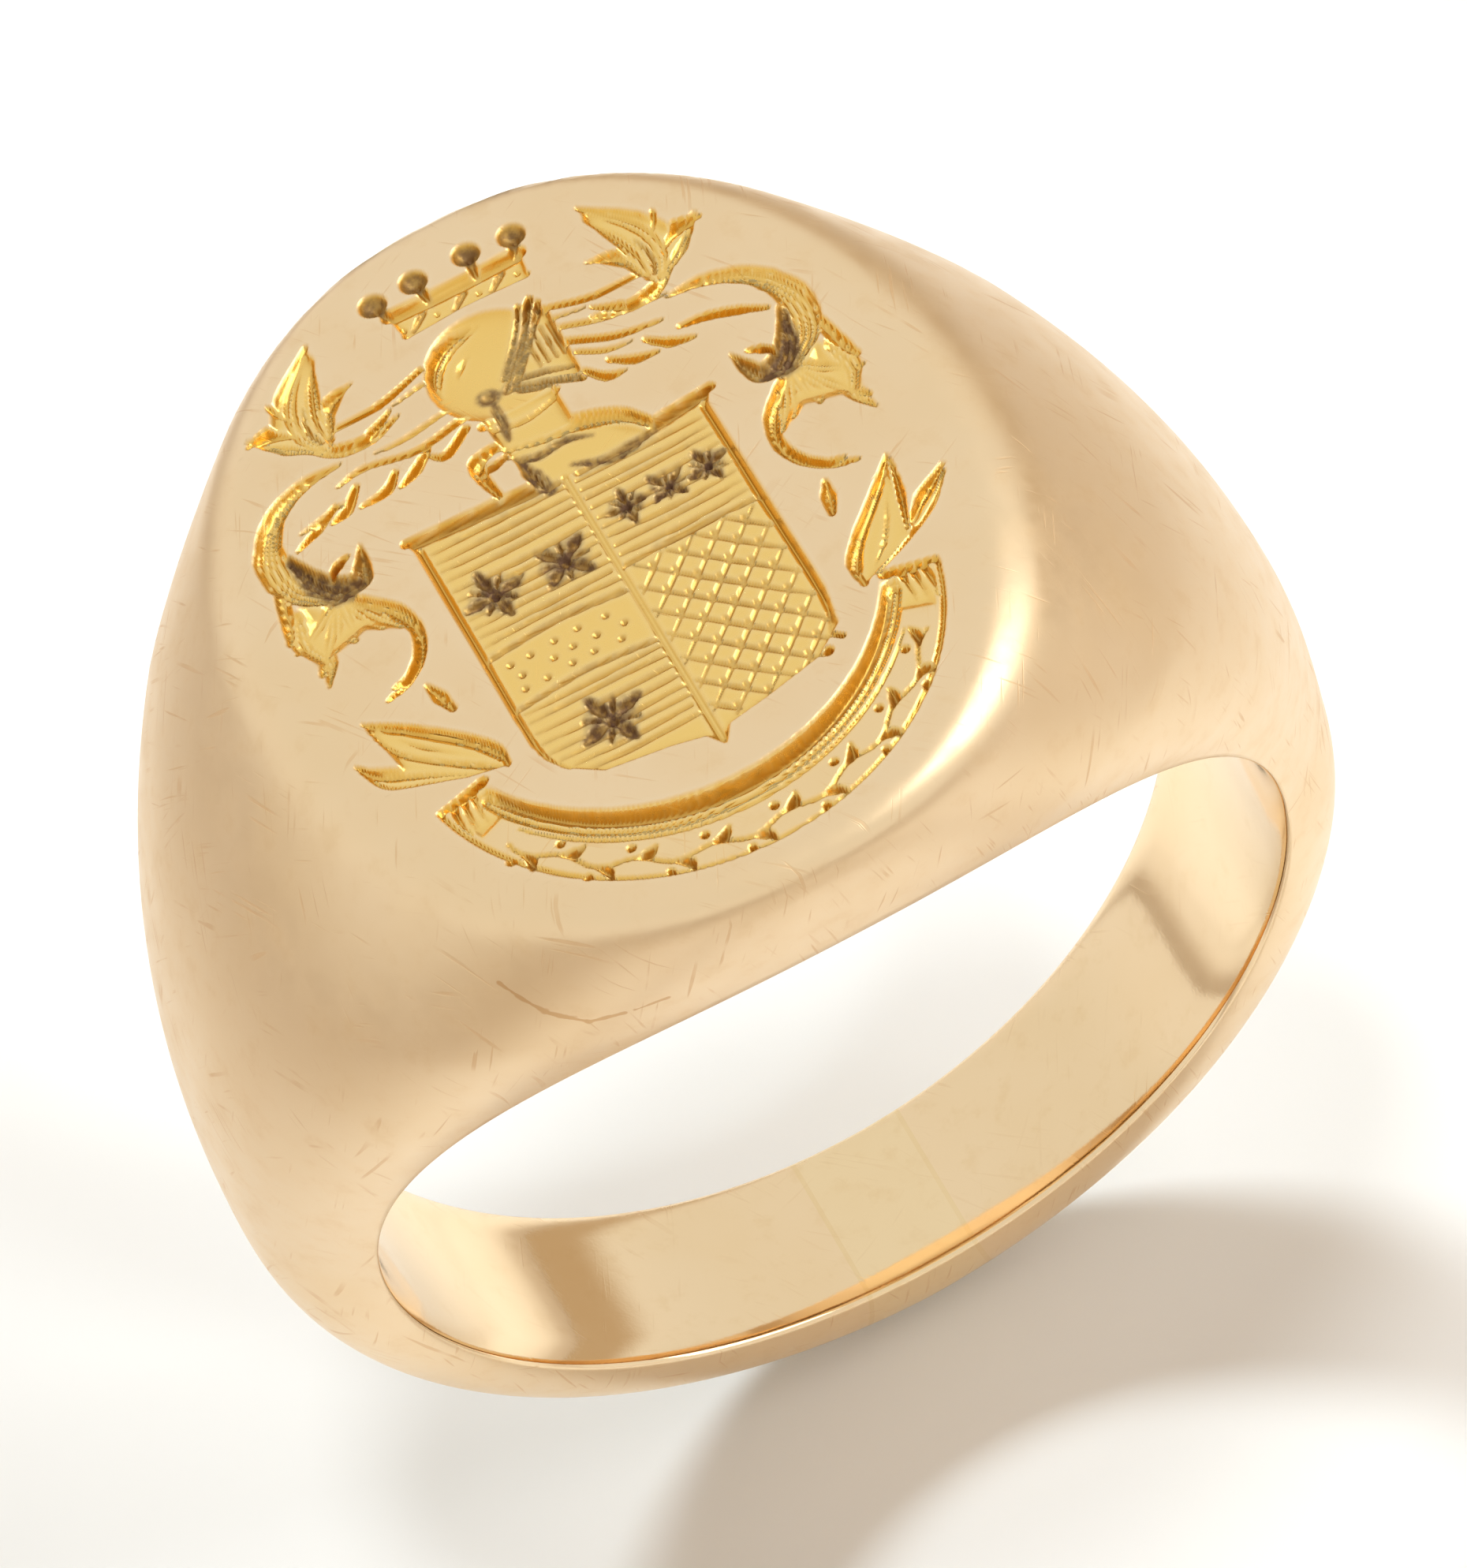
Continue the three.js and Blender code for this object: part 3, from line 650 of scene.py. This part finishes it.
def engraving(x, y):
    """The whole crest at the grid points: its depth, and the layers that the gold's material reads, among
    them painted shade and painted highlights.
    """
    plate = Plate(x, y)
    cut_coronet(plate)
    plate.strokes(STREAMERS)
    cut_tuft(plate, list)
    cut_tuft(plate, mirrored)
    cut_scroll(plate, list)
    cut_scroll(plate, mirrored)
    cut_shield(plate)
    cut_helm(plate)
    cut_ribbon(plate)
    cut_tails(plate)
    raw = np.minimum(plate.depth, DEEPEST_CUT)
    depth = 0.75 * raw + 0.25 * soften(raw, 1)
    depth[depth < SHALLOWEST_CUT] = 0
    slope = np.hypot(*np.gradient(depth, FINE_STEP))
    rise = depth - soften(depth, HALO_STEPS)
    is_cut = smoothstep(depth, 0.02, 0.06)
    layers = {
        "cut": depth / FULL_DEPTH,
        # wall: slope of the cut walls, which the gold paints with reflection and shade
        "wall": np.clip(slope / WALL_SLOPE, 0, 1),
        # groove paints shade in the hollows of the cuts
        "groove_painted_shade": np.clip(rise / GROOVE_RISE, 0, 1) * is_cut,
        # ridge paints highlights on the crests within the cuts
        "ridge_painted_highlight": np.clip(-rise / RIDGE_RISE, 0, 1) * is_cut,
        "halo": np.clip(soften(is_cut, HALO_STEPS) * HALO_GAIN, 0, 1) * (depth < 0.02),
        "residue": soften(plate.residue, 1),
    }
    return depth, layers


# ---- meshes
# A piece is a lattice of cells: columns are radial sections, stations go once round each section. A cell
# that holds engraving is split into CELL_SPLIT x CELL_SPLIT small ones, and its neighbours take the extra
# points on their shared edge, so the skin stays closed.
CORE_HALF_X = 6.48
CORE_HALF_Y = 8.16
SIDE_STATIONS = 12
EDGE_STATIONS = 6
BORE_STATIONS = 6
COLUMN_STEP = 1.6
JOINT_COLUMN_STEP = 0.15



def even_cells(half_reach):
    """Cell edges each side of the middle, a whole number of cells out to about half_reach."""
    cell = FINE_STEP * CELL_SPLIT
    cells = round(half_reach / cell)
    return np.arange(-cells, cells + 1) * cell


# Stations are at fixed distances from the crown's middle line in the core, and share out the rest.
CORE_S = even_cells(CORE_HALF_Y)
SIDE_SHARE = np.linspace(0, 1, SIDE_STATIONS + 1)[1:]
CORE_START = len(SIDE_SHARE)
CORE_END = CORE_START + len(CORE_S) - 1
STATIONS = 2 * len(SIDE_SHARE) + len(CORE_S) + 2 * EDGE_STATIONS + BORE_STATIONS - 1


def section_loop(sections, index, scale, stations):
    """Points (y, radius) of one section at the given stations, which may be fractions."""
    length = sections.length[index]
    core = CORE_S * scale
    side = core[-1] + SIDE_SHARE * (length - core[-1])
    s_values = np.concatenate([-side[::-1], core, side])
    rim = len(s_values) - 1
    s = np.interp(np.minimum(stations, rim), np.arange(rim + 1), s_values)
    y, radius = sections.at(index, s)
    rim_y, _ = sections.at(index, np.array([length]))
    turn = np.arange(1, EDGE_STATIONS + 1) / EDGE_STATIONS * math.pi / 2
    edge_y = rim_y - BORE_EDGE_REACH * (1 - np.cos(turn))
    edge_r = BORE_RADIUS + BORE_EDGE_BREAK * (1 - np.sin(turn))
    across = np.linspace(edge_y[-1], -edge_y[-1], BORE_STATIONS + 1)[1:-1]
    under_y = np.concatenate([edge_y, across, -edge_y[::-1]])
    under_r = np.concatenate([edge_r, np.full(len(across), BORE_RADIUS), edge_r[::-1]])
    under = stations > rim + 1e-9
    place = np.round(stations[under]).astype(int) - rim - 1
    y[under] = under_y[place]
    radius[under] = under_r[place]
    return y, radius


def lattice_mesh(name, angles, is_fine, shape_point):
    """A closed piece. angles has every fine column, and is_fine says which cells are split.
    shape_point(column, angle, y, radius, station) gives positions in millimetres and the layers."""
    split = CELL_SPLIT
    around = STATIONS * split
    index = -np.ones((len(angles), around), int)
    used = np.zeros_like(index, bool)
    used[::split, ::split] = True
    for column, station in zip(*np.nonzero(is_fine)):
        low_u, low_v = column * split, station * split
        used[low_u : low_u + split + 1, low_v : low_v + split + 1] = True
    index[used] = np.arange(used.sum())
    sections = Sections(angles)
    scales = station_scales(angles, sections.length)
    positions = np.zeros((used.sum(), 3))
    layers = np.zeros((used.sum(), len(LAYERS)))
    for u in range(len(angles)):
        v = np.nonzero(used[u])[0]
        if not len(v):
            continue
        y, radius = section_loop(sections, u, scales[u], v / split)
        where = index[u, v]
        positions[where], layers[where] = shape_point(u, angles[u], y, radius, v / split)
    faces = []
    for column, station in np.ndindex(is_fine.shape):
        u, v = column * split, station * split
        if is_fine[column, station]:
            block = index[u : u + split + 1, np.arange(v, v + split + 1) % around]
            quads = np.stack([block[:-1, :-1], block[1:, :-1], block[1:, 1:], block[:-1, 1:]], -1)
            faces.extend(quads.reshape(-1, 4).tolist())
            continue
        outline = [(u + i, v) for i in range(split)]
        outline += [(u + split, v + j) for j in range(split)]
        outline += [(u + split - i, v + split) for i in range(split)]
        outline += [(u, v + split - j) for j in range(split)]
        ring = [int(index[a, b % around]) for a, b in outline]
        faces.append([i for i in ring if i >= 0])
    for u, flip in ((0, False), (len(angles) - 1, True)):
        ring = [int(i) for i in index[u, ::split]]
        faces.append(ring[::-1] if flip else ring)
    mesh = bpy.data.meshes.new(name)
    mesh.from_pydata((positions * MM).tolist(), [], faces)
    mesh.validate()
    mesh.update()
    mesh.polygons.foreach_set("use_smooth", [True] * len(mesh.polygons))
    for layer, values in zip(LAYERS, layers.T):
        attribute = mesh.attributes.new(layer, "FLOAT", "POINT")
        attribute.data.foreach_set("value", values.astype(np.float32))
    mark_end_edges(mesh)
    return new_object(name, mesh)


def new_object(name, data):
    thing = bpy.data.objects.new(name, data)
    bpy.context.scene.collection.objects.link(thing)
    return thing


def mark_end_edges(mesh):
    """The flat end faces meet the skin at a sharp edge."""
    for end in (mesh.polygons[-1], mesh.polygons[-2]):
        end.use_smooth = False
        for loop in end.loop_indices:
            mesh.edges[mesh.loops[loop].edge_index].use_edge_sharp = True


def plain_point(column, angle, y, radius, station):
    """A point of the plain body, where the only layer is the polish inside the hole."""
    edge_end = STATIONS - BORE_STATIONS - EDGE_STATIONS
    polish = smoothstep(station, edge_end - EDGE_STATIONS, edge_end)
    place = np.stack([radius * math.sin(angle), y, radius * math.cos(angle)], -1)
    return place, np.stack([0 * y] * (len(LAYERS) - 1) + [polish], -1)


def joint_columns(low, high):
    """Coarse column angles in degrees, with a narrow column by each joint."""
    count = max(2, round((high - low) / COLUMN_STEP))
    columns = np.linspace(low, high, count + 1)
    return np.unique(np.concatenate([columns, [low + JOINT_COLUMN_STEP, high - JOINT_COLUMN_STEP]]))


def fill_columns(coarse):
    """Fine columns between coarse ones."""
    shares = np.arange(CELL_SPLIT) / CELL_SPLIT
    fine = (coarse[:-1, None] + np.diff(coarse)[:, None] * shares).ravel()
    return np.append(fine, coarse[-1])


CORE_X = even_cells(CORE_HALF_X)
CORE_CELLS = len(CORE_X) - 1
CORE_ANGLE = math.degrees(math.atan(CORE_X[-1] / TABLE_HEIGHT))
CORE_LENGTH = Sections([math.radians(CORE_ANGLE)]).length[0]


def station_scales(angles, length):
    """How much the middle stations close up where a section is shorter than at the table's end."""
    turned = np.degrees(np.arccos(np.cos(angles)))
    return np.where(turned <= CORE_ANGLE, 1.0, np.minimum(length / CORE_LENGTH, 1.0))


def ring_length(name, low, high):
    angles = np.radians(fill_columns(joint_columns(low, high)))
    is_fine = np.zeros(((len(angles) - 1) // CELL_SPLIT, STATIONS), bool)
    return lattice_mesh(name, angles, is_fine, plain_point)


def head_piece():
    """The head: plain wings each side of the table's core, where the cells with engraving are split."""
    wing = joint_columns(CORE_ANGLE, HEAD_JOINT_ANGLE)
    wing = wing[np.abs(wing - CORE_ANGLE - JOINT_COLUMN_STEP) > 1e-9]
    core = np.degrees(np.arctan(fill_columns(CORE_X) / TABLE_HEIGHT))
    wing_fine = fill_columns(wing)
    angles = np.radians(np.concatenate([-wing_fine[::-1], core[1:-1], wing_fine]))
    columns = (len(angles) - 1) // CELL_SPLIT
    is_fine = np.zeros((columns, STATIONS), bool)
    first = len(wing) - 1
    start = first * CELL_SPLIT
    x = TABLE_HEIGHT * np.tan(angles[start : start + CORE_CELLS * CELL_SPLIT + 1])
    y = np.linspace(CORE_S[0], CORE_S[-1], (CORE_END - CORE_START) * CELL_SPLIT + 1)
    depth, painted = engraving(*np.meshgrid(x, y, indexing="ij"))
    grown = soften((depth > 1e-4).astype(float), 1) > 0
    cut = np.zeros((CORE_CELLS, CORE_END - CORE_START), bool)
    for i, j in np.ndindex(CELL_SPLIT + 1, CELL_SPLIT + 1):
        rows = slice(i, i + CELL_SPLIT * cut.shape[0], CELL_SPLIT)
        lines = slice(j, j + CELL_SPLIT * cut.shape[1], CELL_SPLIT)
        cut |= grown[rows, lines]
    is_fine[first : first + CORE_CELLS, CORE_START:CORE_END] = cut

    def engraved_point(column, angle, y_values, radius, station):
        place, layers = plain_point(column, angle, y_values, radius, station)
        row = column - start
        if not 0 <= row < len(x):
            return place, layers
        line = np.round((station - CORE_START) * CELL_SPLIT).astype(int)
        inside = (line >= 0) & (line < len(y))
        place[inside, 2] -= depth[row, line[inside]]
        for number, layer_name in enumerate(LAYERS[:-1]):
            layers[inside, number] = painted[layer_name][row, line[inside]]
        return place, layers

    return lattice_mesh("engraved_head", angles, is_fine, engraved_point)


# ---- camera
CAMERA_AZIMUTH = -7.894
CAMERA_ELEVATION = 51.733
CAMERA_ROLL = -21.19
CAMERA_DISTANCE = 170.0
FRAMING_RIGHT = -0.729
FRAMING_UP = 2.88
# The lens's focal length, over the frame's longer side.
LENS_SHARE = 5.697988


def way_to(azimuth, elevation):
    """Azimuth 0 is the front, -Y, and 90 the right, +X."""
    turn, rise = math.radians(azimuth), math.radians(elevation)
    return Vector((math.sin(turn) * math.cos(rise), -math.cos(turn) * math.cos(rise), math.sin(rise)))


def make_camera():
    roll = math.radians(CAMERA_ROLL)
    towards = way_to(CAMERA_AZIMUTH, CAMERA_ELEVATION)
    level = (-towards).cross(Vector((0, 0, 1))).normalized()
    upright = level.cross(-towards)
    right = math.cos(roll) * level + math.sin(roll) * upright
    up = -math.sin(roll) * level + math.cos(roll) * upright
    place = (FRAMING_RIGHT * right + FRAMING_UP * up + CAMERA_DISTANCE * towards) * MM
    data = bpy.data.cameras.new("camera")
    data.sensor_width = 36.0
    data.lens = data.sensor_width * LENS_SHARE
    data.clip_start = 0.01
    camera = new_object("camera", data)
    camera.matrix_world = Matrix.Translation(place) @ Matrix((right, up, towards)).transposed().to_4x4()
    bpy.context.scene.camera = camera


# ---- materials
def new_material(name):
    material = bpy.data.materials.new(name)
    material.use_nodes = True
    tree = material.node_tree
    return material, tree, tree.nodes["Principled BSDF"]


def add_node(tree, kind, **settings):
    node = tree.nodes.new(kind)
    for key, value in settings.items():
        if key.startswith("in_"):
            node.inputs[key[3:].replace("_", " ")].default_value = value
        else:
            setattr(node, key, value)
    return node


def feed(tree, sockets, values):
    """Sets each socket to its value, or links it where the value is another node's output."""
    for socket, value in zip(sockets, values):
        if isinstance(value, bpy.types.NodeSocket):
            tree.links.new(value, socket)
        else:
            socket.default_value = value


def ramp(tree, source, low, high, start=0.0, end=1.0):
    node = add_node(tree, "ShaderNodeMapRange", interpolation_type="SMOOTHSTEP")
    feed(tree, node.inputs, (source, low, high, start, end))
    return node.outputs["Result"]


def maths(tree, operation, first, second):
    node = add_node(tree, "ShaderNodeMath", operation=operation)
    feed(tree, node.inputs, (first, second))
    return node.outputs[0]


def times(tree, first, second):
    return maths(tree, "MULTIPLY", first, second)


def blend_colour(tree, share, first, second):
    node = add_node(tree, "ShaderNodeMix", data_type="RGBA")
    first, second = ((*c, 1) if isinstance(c, tuple) else c for c in (first, second))
    feed(tree, (node.inputs[0], node.inputs[6], node.inputs[7]), (share, first, second))
    return node.outputs[2]


def noise(tree, scale, detail=3.0, roughness=0.5, stretch=(1, 1, 1), turn=(0, 0, 0)):
    place = add_node(tree, "ShaderNodeTexCoord").outputs["Object"]
    turn = [math.radians(a) for a in turn]
    mapping = add_node(tree, "ShaderNodeMapping", vector_type="TEXTURE", in_Rotation=turn, in_Scale=stretch)
    tree.links.new(place, mapping.inputs["Vector"])
    node = add_node(tree, "ShaderNodeTexNoise", in_Scale=scale, in_Detail=detail, in_Roughness=roughness)
    tree.links.new(mapping.outputs["Vector"], node.inputs["Vector"])
    return node.outputs["Fac"]


def layer(tree, name):
    return add_node(tree, "ShaderNodeAttribute", attribute_name=name).outputs["Fac"]


PER_METRE = 1 / MM
SCRATCH_TURNS = ((50, 15, 20), (70, 40, 100), (110, -20, 60), (65, -35, 150), (80, 10, -60))
# One long nick: each stretch's ends, x and z, and its half width.
NICKS = (
    ((-5.7, 11.4), (-5.2, 10.8), 0.06),
    ((-5.2, 10.8), (-4.6, 10.4), 0.1),
    ((-4.6, 10.4), (-4.0, 10.4), 0.07),
    ((-3.8, 10.42), (-3.2, 10.5), 0.05),
)


# A nick takes this share of the scratch colour, and a scratch this share of what a nick takes.
NICK_TINT = 0.8
NICK_TO_SCRATCH = 0.4375


def scratches(tree):
    """Hairline marks in five directions, each kept to patches: 1 in a mark, 0 elsewhere."""
    total = None
    for number, turn in enumerate(SCRATCH_TURNS):
        line = noise(tree, 4.0 * PER_METRE, 1.0, 0.4, (8.0, 8.0, 0.3), turn)
        thin = ramp(tree, line, 0.67 - 0.008 * (number % 2), 0.71)
        patch = ramp(tree, noise(tree, 0.6 * PER_METRE, 2.0, 0.6, turn=turn), 0.52, 0.66)
        mark = times(tree, thin, patch)
        total = mark if total is None else maths(tree, "MAXIMUM", total, mark)
    return total


def vector_maths(tree, operation, first, second, output="Vector"):
    node = add_node(tree, "ShaderNodeVectorMath", operation=operation)
    feed(tree, node.inputs, (first, second))
    return node.outputs[output]


def nick(tree, start, end, width):
    """A straight line on the front wall, from start to end: 1 on it, 0 elsewhere. Points are x, z."""
    start, end = Vector((start[0], 0, start[1])) * MM, Vector((end[0], 0, end[1])) * MM
    unit = (end - start).normalized()
    place = add_node(tree, "ShaderNodeTexCoord").outputs["Object"]
    from_start = vector_maths(tree, "SUBTRACT", vector_maths(tree, "MULTIPLY", place, (1, 0, 1)), start)
    along = vector_maths(tree, "DOT_PRODUCT", from_start, unit, "Value")
    reach = maths(tree, "MINIMUM", maths(tree, "MAXIMUM", along, 0.0), (end - start).length)
    foot = add_node(tree, "ShaderNodeVectorMath", operation="SCALE")
    feed(tree, (foot.inputs[0], foot.inputs["Scale"]), (unit, reach))
    away = vector_maths(tree, "DISTANCE", from_start, foot.outputs["Vector"], "Value")
    edge = ramp(tree, noise(tree, 3.0 * PER_METRE, 2.0), 0.3, 0.7, 0.4 * width * MM, 1.3 * width * MM)
    split = add_node(tree, "ShaderNodeSeparateXYZ")
    tree.links.new(place, split.inputs[0])
    front = ramp(tree, split.outputs["Y"], -5.5 * MM, -6 * MM)
    return times(tree, front, ramp(tree, maths(tree, "DIVIDE", away, edge), 1.0, 0.5))


TARNISH = (0.82, 0.58, 0.31)
SCRATCH = (0.70, 0.42, 0.19)
CUT_HALO = (0.97, 0.82, 0.60)
# Painted reflection: the saturated yellow of the cut floors, lit by the gold walls around them.
PAINTED_FLOOR_REFLECTION = (0.95, 0.66, 0.22)
# Painted reflection and shade: the deep orange the cut walls take from reflecting each other.
PAINTED_WALL_REFLECTION = (0.86, 0.47, 0.06)
# Painted shade: dark brown-orange lines along the hollows of the cuts.
PAINTED_GROOVE_SHADE = (0.62, 0.33, 0.05)
# Painted highlight: pale colour on the crests within the cuts.
PAINTED_RIDGE_HIGHLIGHT = (1.0, 0.80, 0.42)
DIRT = (0.13, 0.062, 0.03)


def gold_material(name, light, deep):
    """Satin gold between two tints, polished, cut and dirty where the mesh's layers say, with painted
    reflection and shade in the cuts and painted highlights on their ridges.
    """
    material, tree, shader = new_material(name)
    cut, wall, groove_painted_shade, ridge_painted_highlight, halo, residue, polish = (layer(tree, key) for key in LAYERS)
    cloud = noise(tree, 0.28 * PER_METRE, 3.0, 0.55)
    mottle = noise(tree, 1.6 * PER_METRE, 4.0, 0.6)
    graver = noise(tree, 3.4 * PER_METRE, 2.0, 0.5)
    grain = noise(tree, 14.0 * PER_METRE, 3.0, 0.6)
    wave = noise(tree, 0.9 * PER_METRE, 2.0, 0.5)
    marks = times(tree, scratches(tree), maths(tree, "SUBTRACT", 1.0, times(tree, polish, 0.75)))
    gouge = times(tree, marks, NICK_TO_SCRATCH)
    for start, end, width in NICKS:
        gouge = maths(tree, "MAXIMUM", gouge, nick(tree, start, end, width))
    # inside is the cuts' floor: its colour below is a painted reflection, while its smoother, textured
    # surface is real.
    inside = ramp(tree, cut, 0.03, 0.2)
    patchy = ramp(tree, noise(tree, 5.0 * PER_METRE, 3.0), 0.35, 0.6, 0.65, 1.05)
    dirt = maths(tree, "MINIMUM", times(tree, residue, patchy), 1.0)
    mixed = blend_colour(tree, ramp(tree, cloud, 0.3, 0.7), light, deep)
    for share, colour in (
        (times(tree, ramp(tree, mottle, 0.52, 0.75), 0.3), TARNISH),
        (times(tree, gouge, NICK_TINT), SCRATCH),
        (times(tree, halo, 0.5), CUT_HALO),
        # painted reflection on the cut floors
        (inside, PAINTED_FLOOR_REFLECTION),
        # painted reflection and shade on the cut walls
        (times(tree, wall, 0.85), PAINTED_WALL_REFLECTION),
        # painted shade in the grooves
        (times(tree, groove_painted_shade, 0.6), PAINTED_GROOVE_SHADE),
        # painted highlights on the ridges
        (times(tree, ridge_painted_highlight, 0.6), PAINTED_RIDGE_HIGHLIGHT),
        (dirt, DIRT),
    ):
        mixed = blend_colour(tree, share, mixed, colour)
    tree.links.new(mixed, shader.inputs["Base Color"])
    tree.links.new(maths(tree, "SUBTRACT", 1.0, times(tree, dirt, 0.6)), shader.inputs["Metallic"])
    satin = maths(tree, "ADD", ramp(tree, mottle, 0.3, 0.7, 0.29, 0.38), times(tree, marks, 0.14))
    gloss = ramp(tree, mottle, 0.3, 0.7, 0.07, 0.12)
    rough = add_node(tree, "ShaderNodeMix", data_type="FLOAT")
    feed(tree, (rough.inputs[0], rough.inputs[2], rough.inputs[3]), (polish, satin, gloss))
    dull = maths(tree, "ADD", times(tree, dirt, 0.3), times(tree, inside, -0.08))
    tree.links.new(maths(tree, "ADD", rough.outputs[0], dull), shader.inputs["Roughness"])
    height = maths(tree, "ADD", times(tree, grain, 0.12), times(tree, wave, 0.7))
    height = maths(tree, "SUBTRACT", height, times(tree, marks, 0.35))
    height = maths(tree, "ADD", height, times(tree, times(tree, graver, inside), 1.6))
    bump = add_node(tree, "ShaderNodeBump", in_Strength=0.5, in_Distance=0.012 * MM)
    tree.links.new(height, bump.inputs["Height"])
    tree.links.new(bump.outputs["Normal"], shader.inputs["Normal"])
    return material


satin_gold = gold_material("satin_skin", (0.92, 0.71, 0.46), (0.90, 0.68, 0.42))
insert_gold = gold_material("insert_skin", (0.92, 0.72, 0.45), (0.90, 0.69, 0.42))
gold_solder = gold_material("solder_skin", (0.90, 0.69, 0.41), (0.84, 0.62, 0.35))


# ---- floor and lights
FLOOR_HALF_SIZE = 0.6
FLOOR_GAP = 0.0002
POOL_DISTANCE = 200
POOL_SOFTNESS = 35
POOL_COLOUR = (0.82, 0.94, 1.0)


def make_stage():
    """A pale floor just below the ring."""
    size = FLOOR_HALF_SIZE
    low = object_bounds()[0][2] - FLOOR_GAP
    mesh = bpy.data.meshes.new("floor")
    corners = [(-size, -size, low), (size, -size, low), (size, size, low), (-size, size, low)]
    mesh.from_pydata(corners, [], [(0, 1, 2, 3)])
    material, _, shader = new_material("studio_white")
    shader.inputs["Base Color"].default_value = (0.9, 0.9, 0.9, 1)
    shader.inputs["Roughness"].default_value = 0.9
    mesh.materials.append(material)
    new_object("floor", mesh)


def add_light(name, kind, towards, place):
    """A light at a place in millimetres, shining back along towards."""
    data = bpy.data.lights.new(name, kind)
    light = new_object(name, data)
    light.location = place * MM
    light.rotation_mode = "QUATERNION"
    light.rotation_quaternion = towards.to_track_quat("Z", "Y")
    return light, data


def soft_light(name, azimuth, elevation, distance, wide, tall, brightness):
    """An area light turned to the ring. Sizes in millimetres."""
    towards = way_to(azimuth, elevation)
    _, data = add_light(name, "AREA", towards, towards * distance)
    data.shape = "RECTANGLE"
    data.size = wide * MM
    data.size_y = tall * MM
    data.energy = brightness * math.pi * data.size * data.size_y


def floor_pool(name, x, y, azimuth, elevation, radius, watts):
    """A round pool of light on the floor at x, y, millimetres. It doesn't show in the gold."""
    towards = way_to(azimuth, elevation)
    place = Vector((x, y, -BACK_OUTER_RADIUS)) + towards * POOL_DISTANCE
    light, data = add_light(name, "SPOT", towards, place)
    data.energy = watts
    data.spot_size = 2 * math.atan(radius / POOL_DISTANCE)
    data.spot_blend = 1.0
    data.shadow_soft_size = POOL_SOFTNESS * MM
    data.color = POOL_COLOUR
    light.visible_glossy = False


def sky_light(name, strength, spread, colour):
    """Light from overhead, out of a disc of the sky spread degrees wide. It doesn't show in the gold."""
    light, data = add_light(name, "SUN", Vector((0, 0, 1)), Vector())
    data.energy = strength
    data.angle = math.radians(spread)
    data.color = colour
    light.visible_glossy = False


TENT_LOW = (0.93, 0.91, 0.86)
TENT_HIGH = (0.86, 0.85, 0.80)
TENT_BAND = (0.58, 0.46, 0.32)
BAND_WAY = (0.77, 0.64)


def make_world():
    """A soft white tent all round, with a warmer, dimmer band low down behind, for the gold to show."""
    world = bpy.data.worlds.new("studio")
    bpy.context.scene.world = world
    world.use_nodes = True
    tree = world.node_tree
    way = add_node(tree, "ShaderNodeSeparateXYZ")
    tree.links.new(add_node(tree, "ShaderNodeTexCoord").outputs["Generated"], way.inputs[0])
    across, along, up = way.outputs
    towards_band = maths(tree, "ADD", times(tree, across, BAND_WAY[0]), times(tree, along, BAND_WAY[1]))
    band = times(tree, ramp(tree, up, 0.32, 0.16), ramp(tree, towards_band, 0.66, 0.88))
    tent = blend_colour(tree, ramp(tree, up, 0.1, 0.5), TENT_LOW, TENT_HIGH)
    tree.links.new(blend_colour(tree, band, tent, TENT_BAND), tree.nodes["Background"].inputs["Color"])
    world.cycles_visibility.diffuse = False
    bpy.context.scene.view_settings.view_transform = "Standard"


# ---- the pieces
JOINT_END = HEAD_JOINT_ANGLE + SEAM_ANGLE
RIGHT_SEAM = INSERT_START_ANGLE - SEAM_ANGLE
LEFT_SEAM = INSERT_END_ANGLE + SEAM_ANGLE
HEAD_LEFT_END = 360 - HEAD_JOINT_ANGLE
# Name, node, slot, material, and the angles between which the piece lies.
PIECES = (
    ("shank_right_skin", "shank_right", "satin_gold", satin_gold, JOINT_END, RIGHT_SEAM),
    ("sizing_piece", "sizing_insert", "insert_gold", insert_gold, INSERT_START_ANGLE, INSERT_END_ANGLE),
    ("shank_left_skin", "shank_left", "satin_gold", satin_gold, LEFT_SEAM, 360 - JOINT_END),
    ("head_solder_right", "head_seam_right", "gold_solder", satin_gold, HEAD_JOINT_ANGLE, JOINT_END),
    ("head_solder_left", "head_seam_left", "gold_solder", satin_gold, 360 - JOINT_END, HEAD_LEFT_END),
    ("solder_right", "insert_seam_right", "gold_solder", gold_solder, RIGHT_SEAM, INSERT_START_ANGLE),
    ("solder_left", "insert_seam_left", "gold_solder", gold_solder, INSERT_END_ANGLE, LEFT_SEAM),
)


def settle(piece, node, material):
    piece.data.materials.append(material)
    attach(piece, "root")
    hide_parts(node)


settle(head_piece(), "signet_head", satin_gold)
for name, node, slot, material, low, high in PIECES:
    settle(ring_length(name, low, high), node, material)

make_camera()
make_stage()
make_world()
# Each light's way from the ring in degrees, then its distance and size, or where its pool lies.
soft_light("key", 76, 42, 250, 160, 160, 2.2)
sky_light("warm_fill", 0.9, 100, (1.0, 0.62, 0.27))
sky_light("overhead", 0.9, 12, (0.9, 0.97, 1.0))
floor_pool("pool_back", 3, 27, 185, 42, 40, 2.9)
floor_pool("pool_front", 2, -13, 22, 34, 25, 1.5)
floor_pool("pool_right", 13, -12, 60, 30, 18, 0.5)
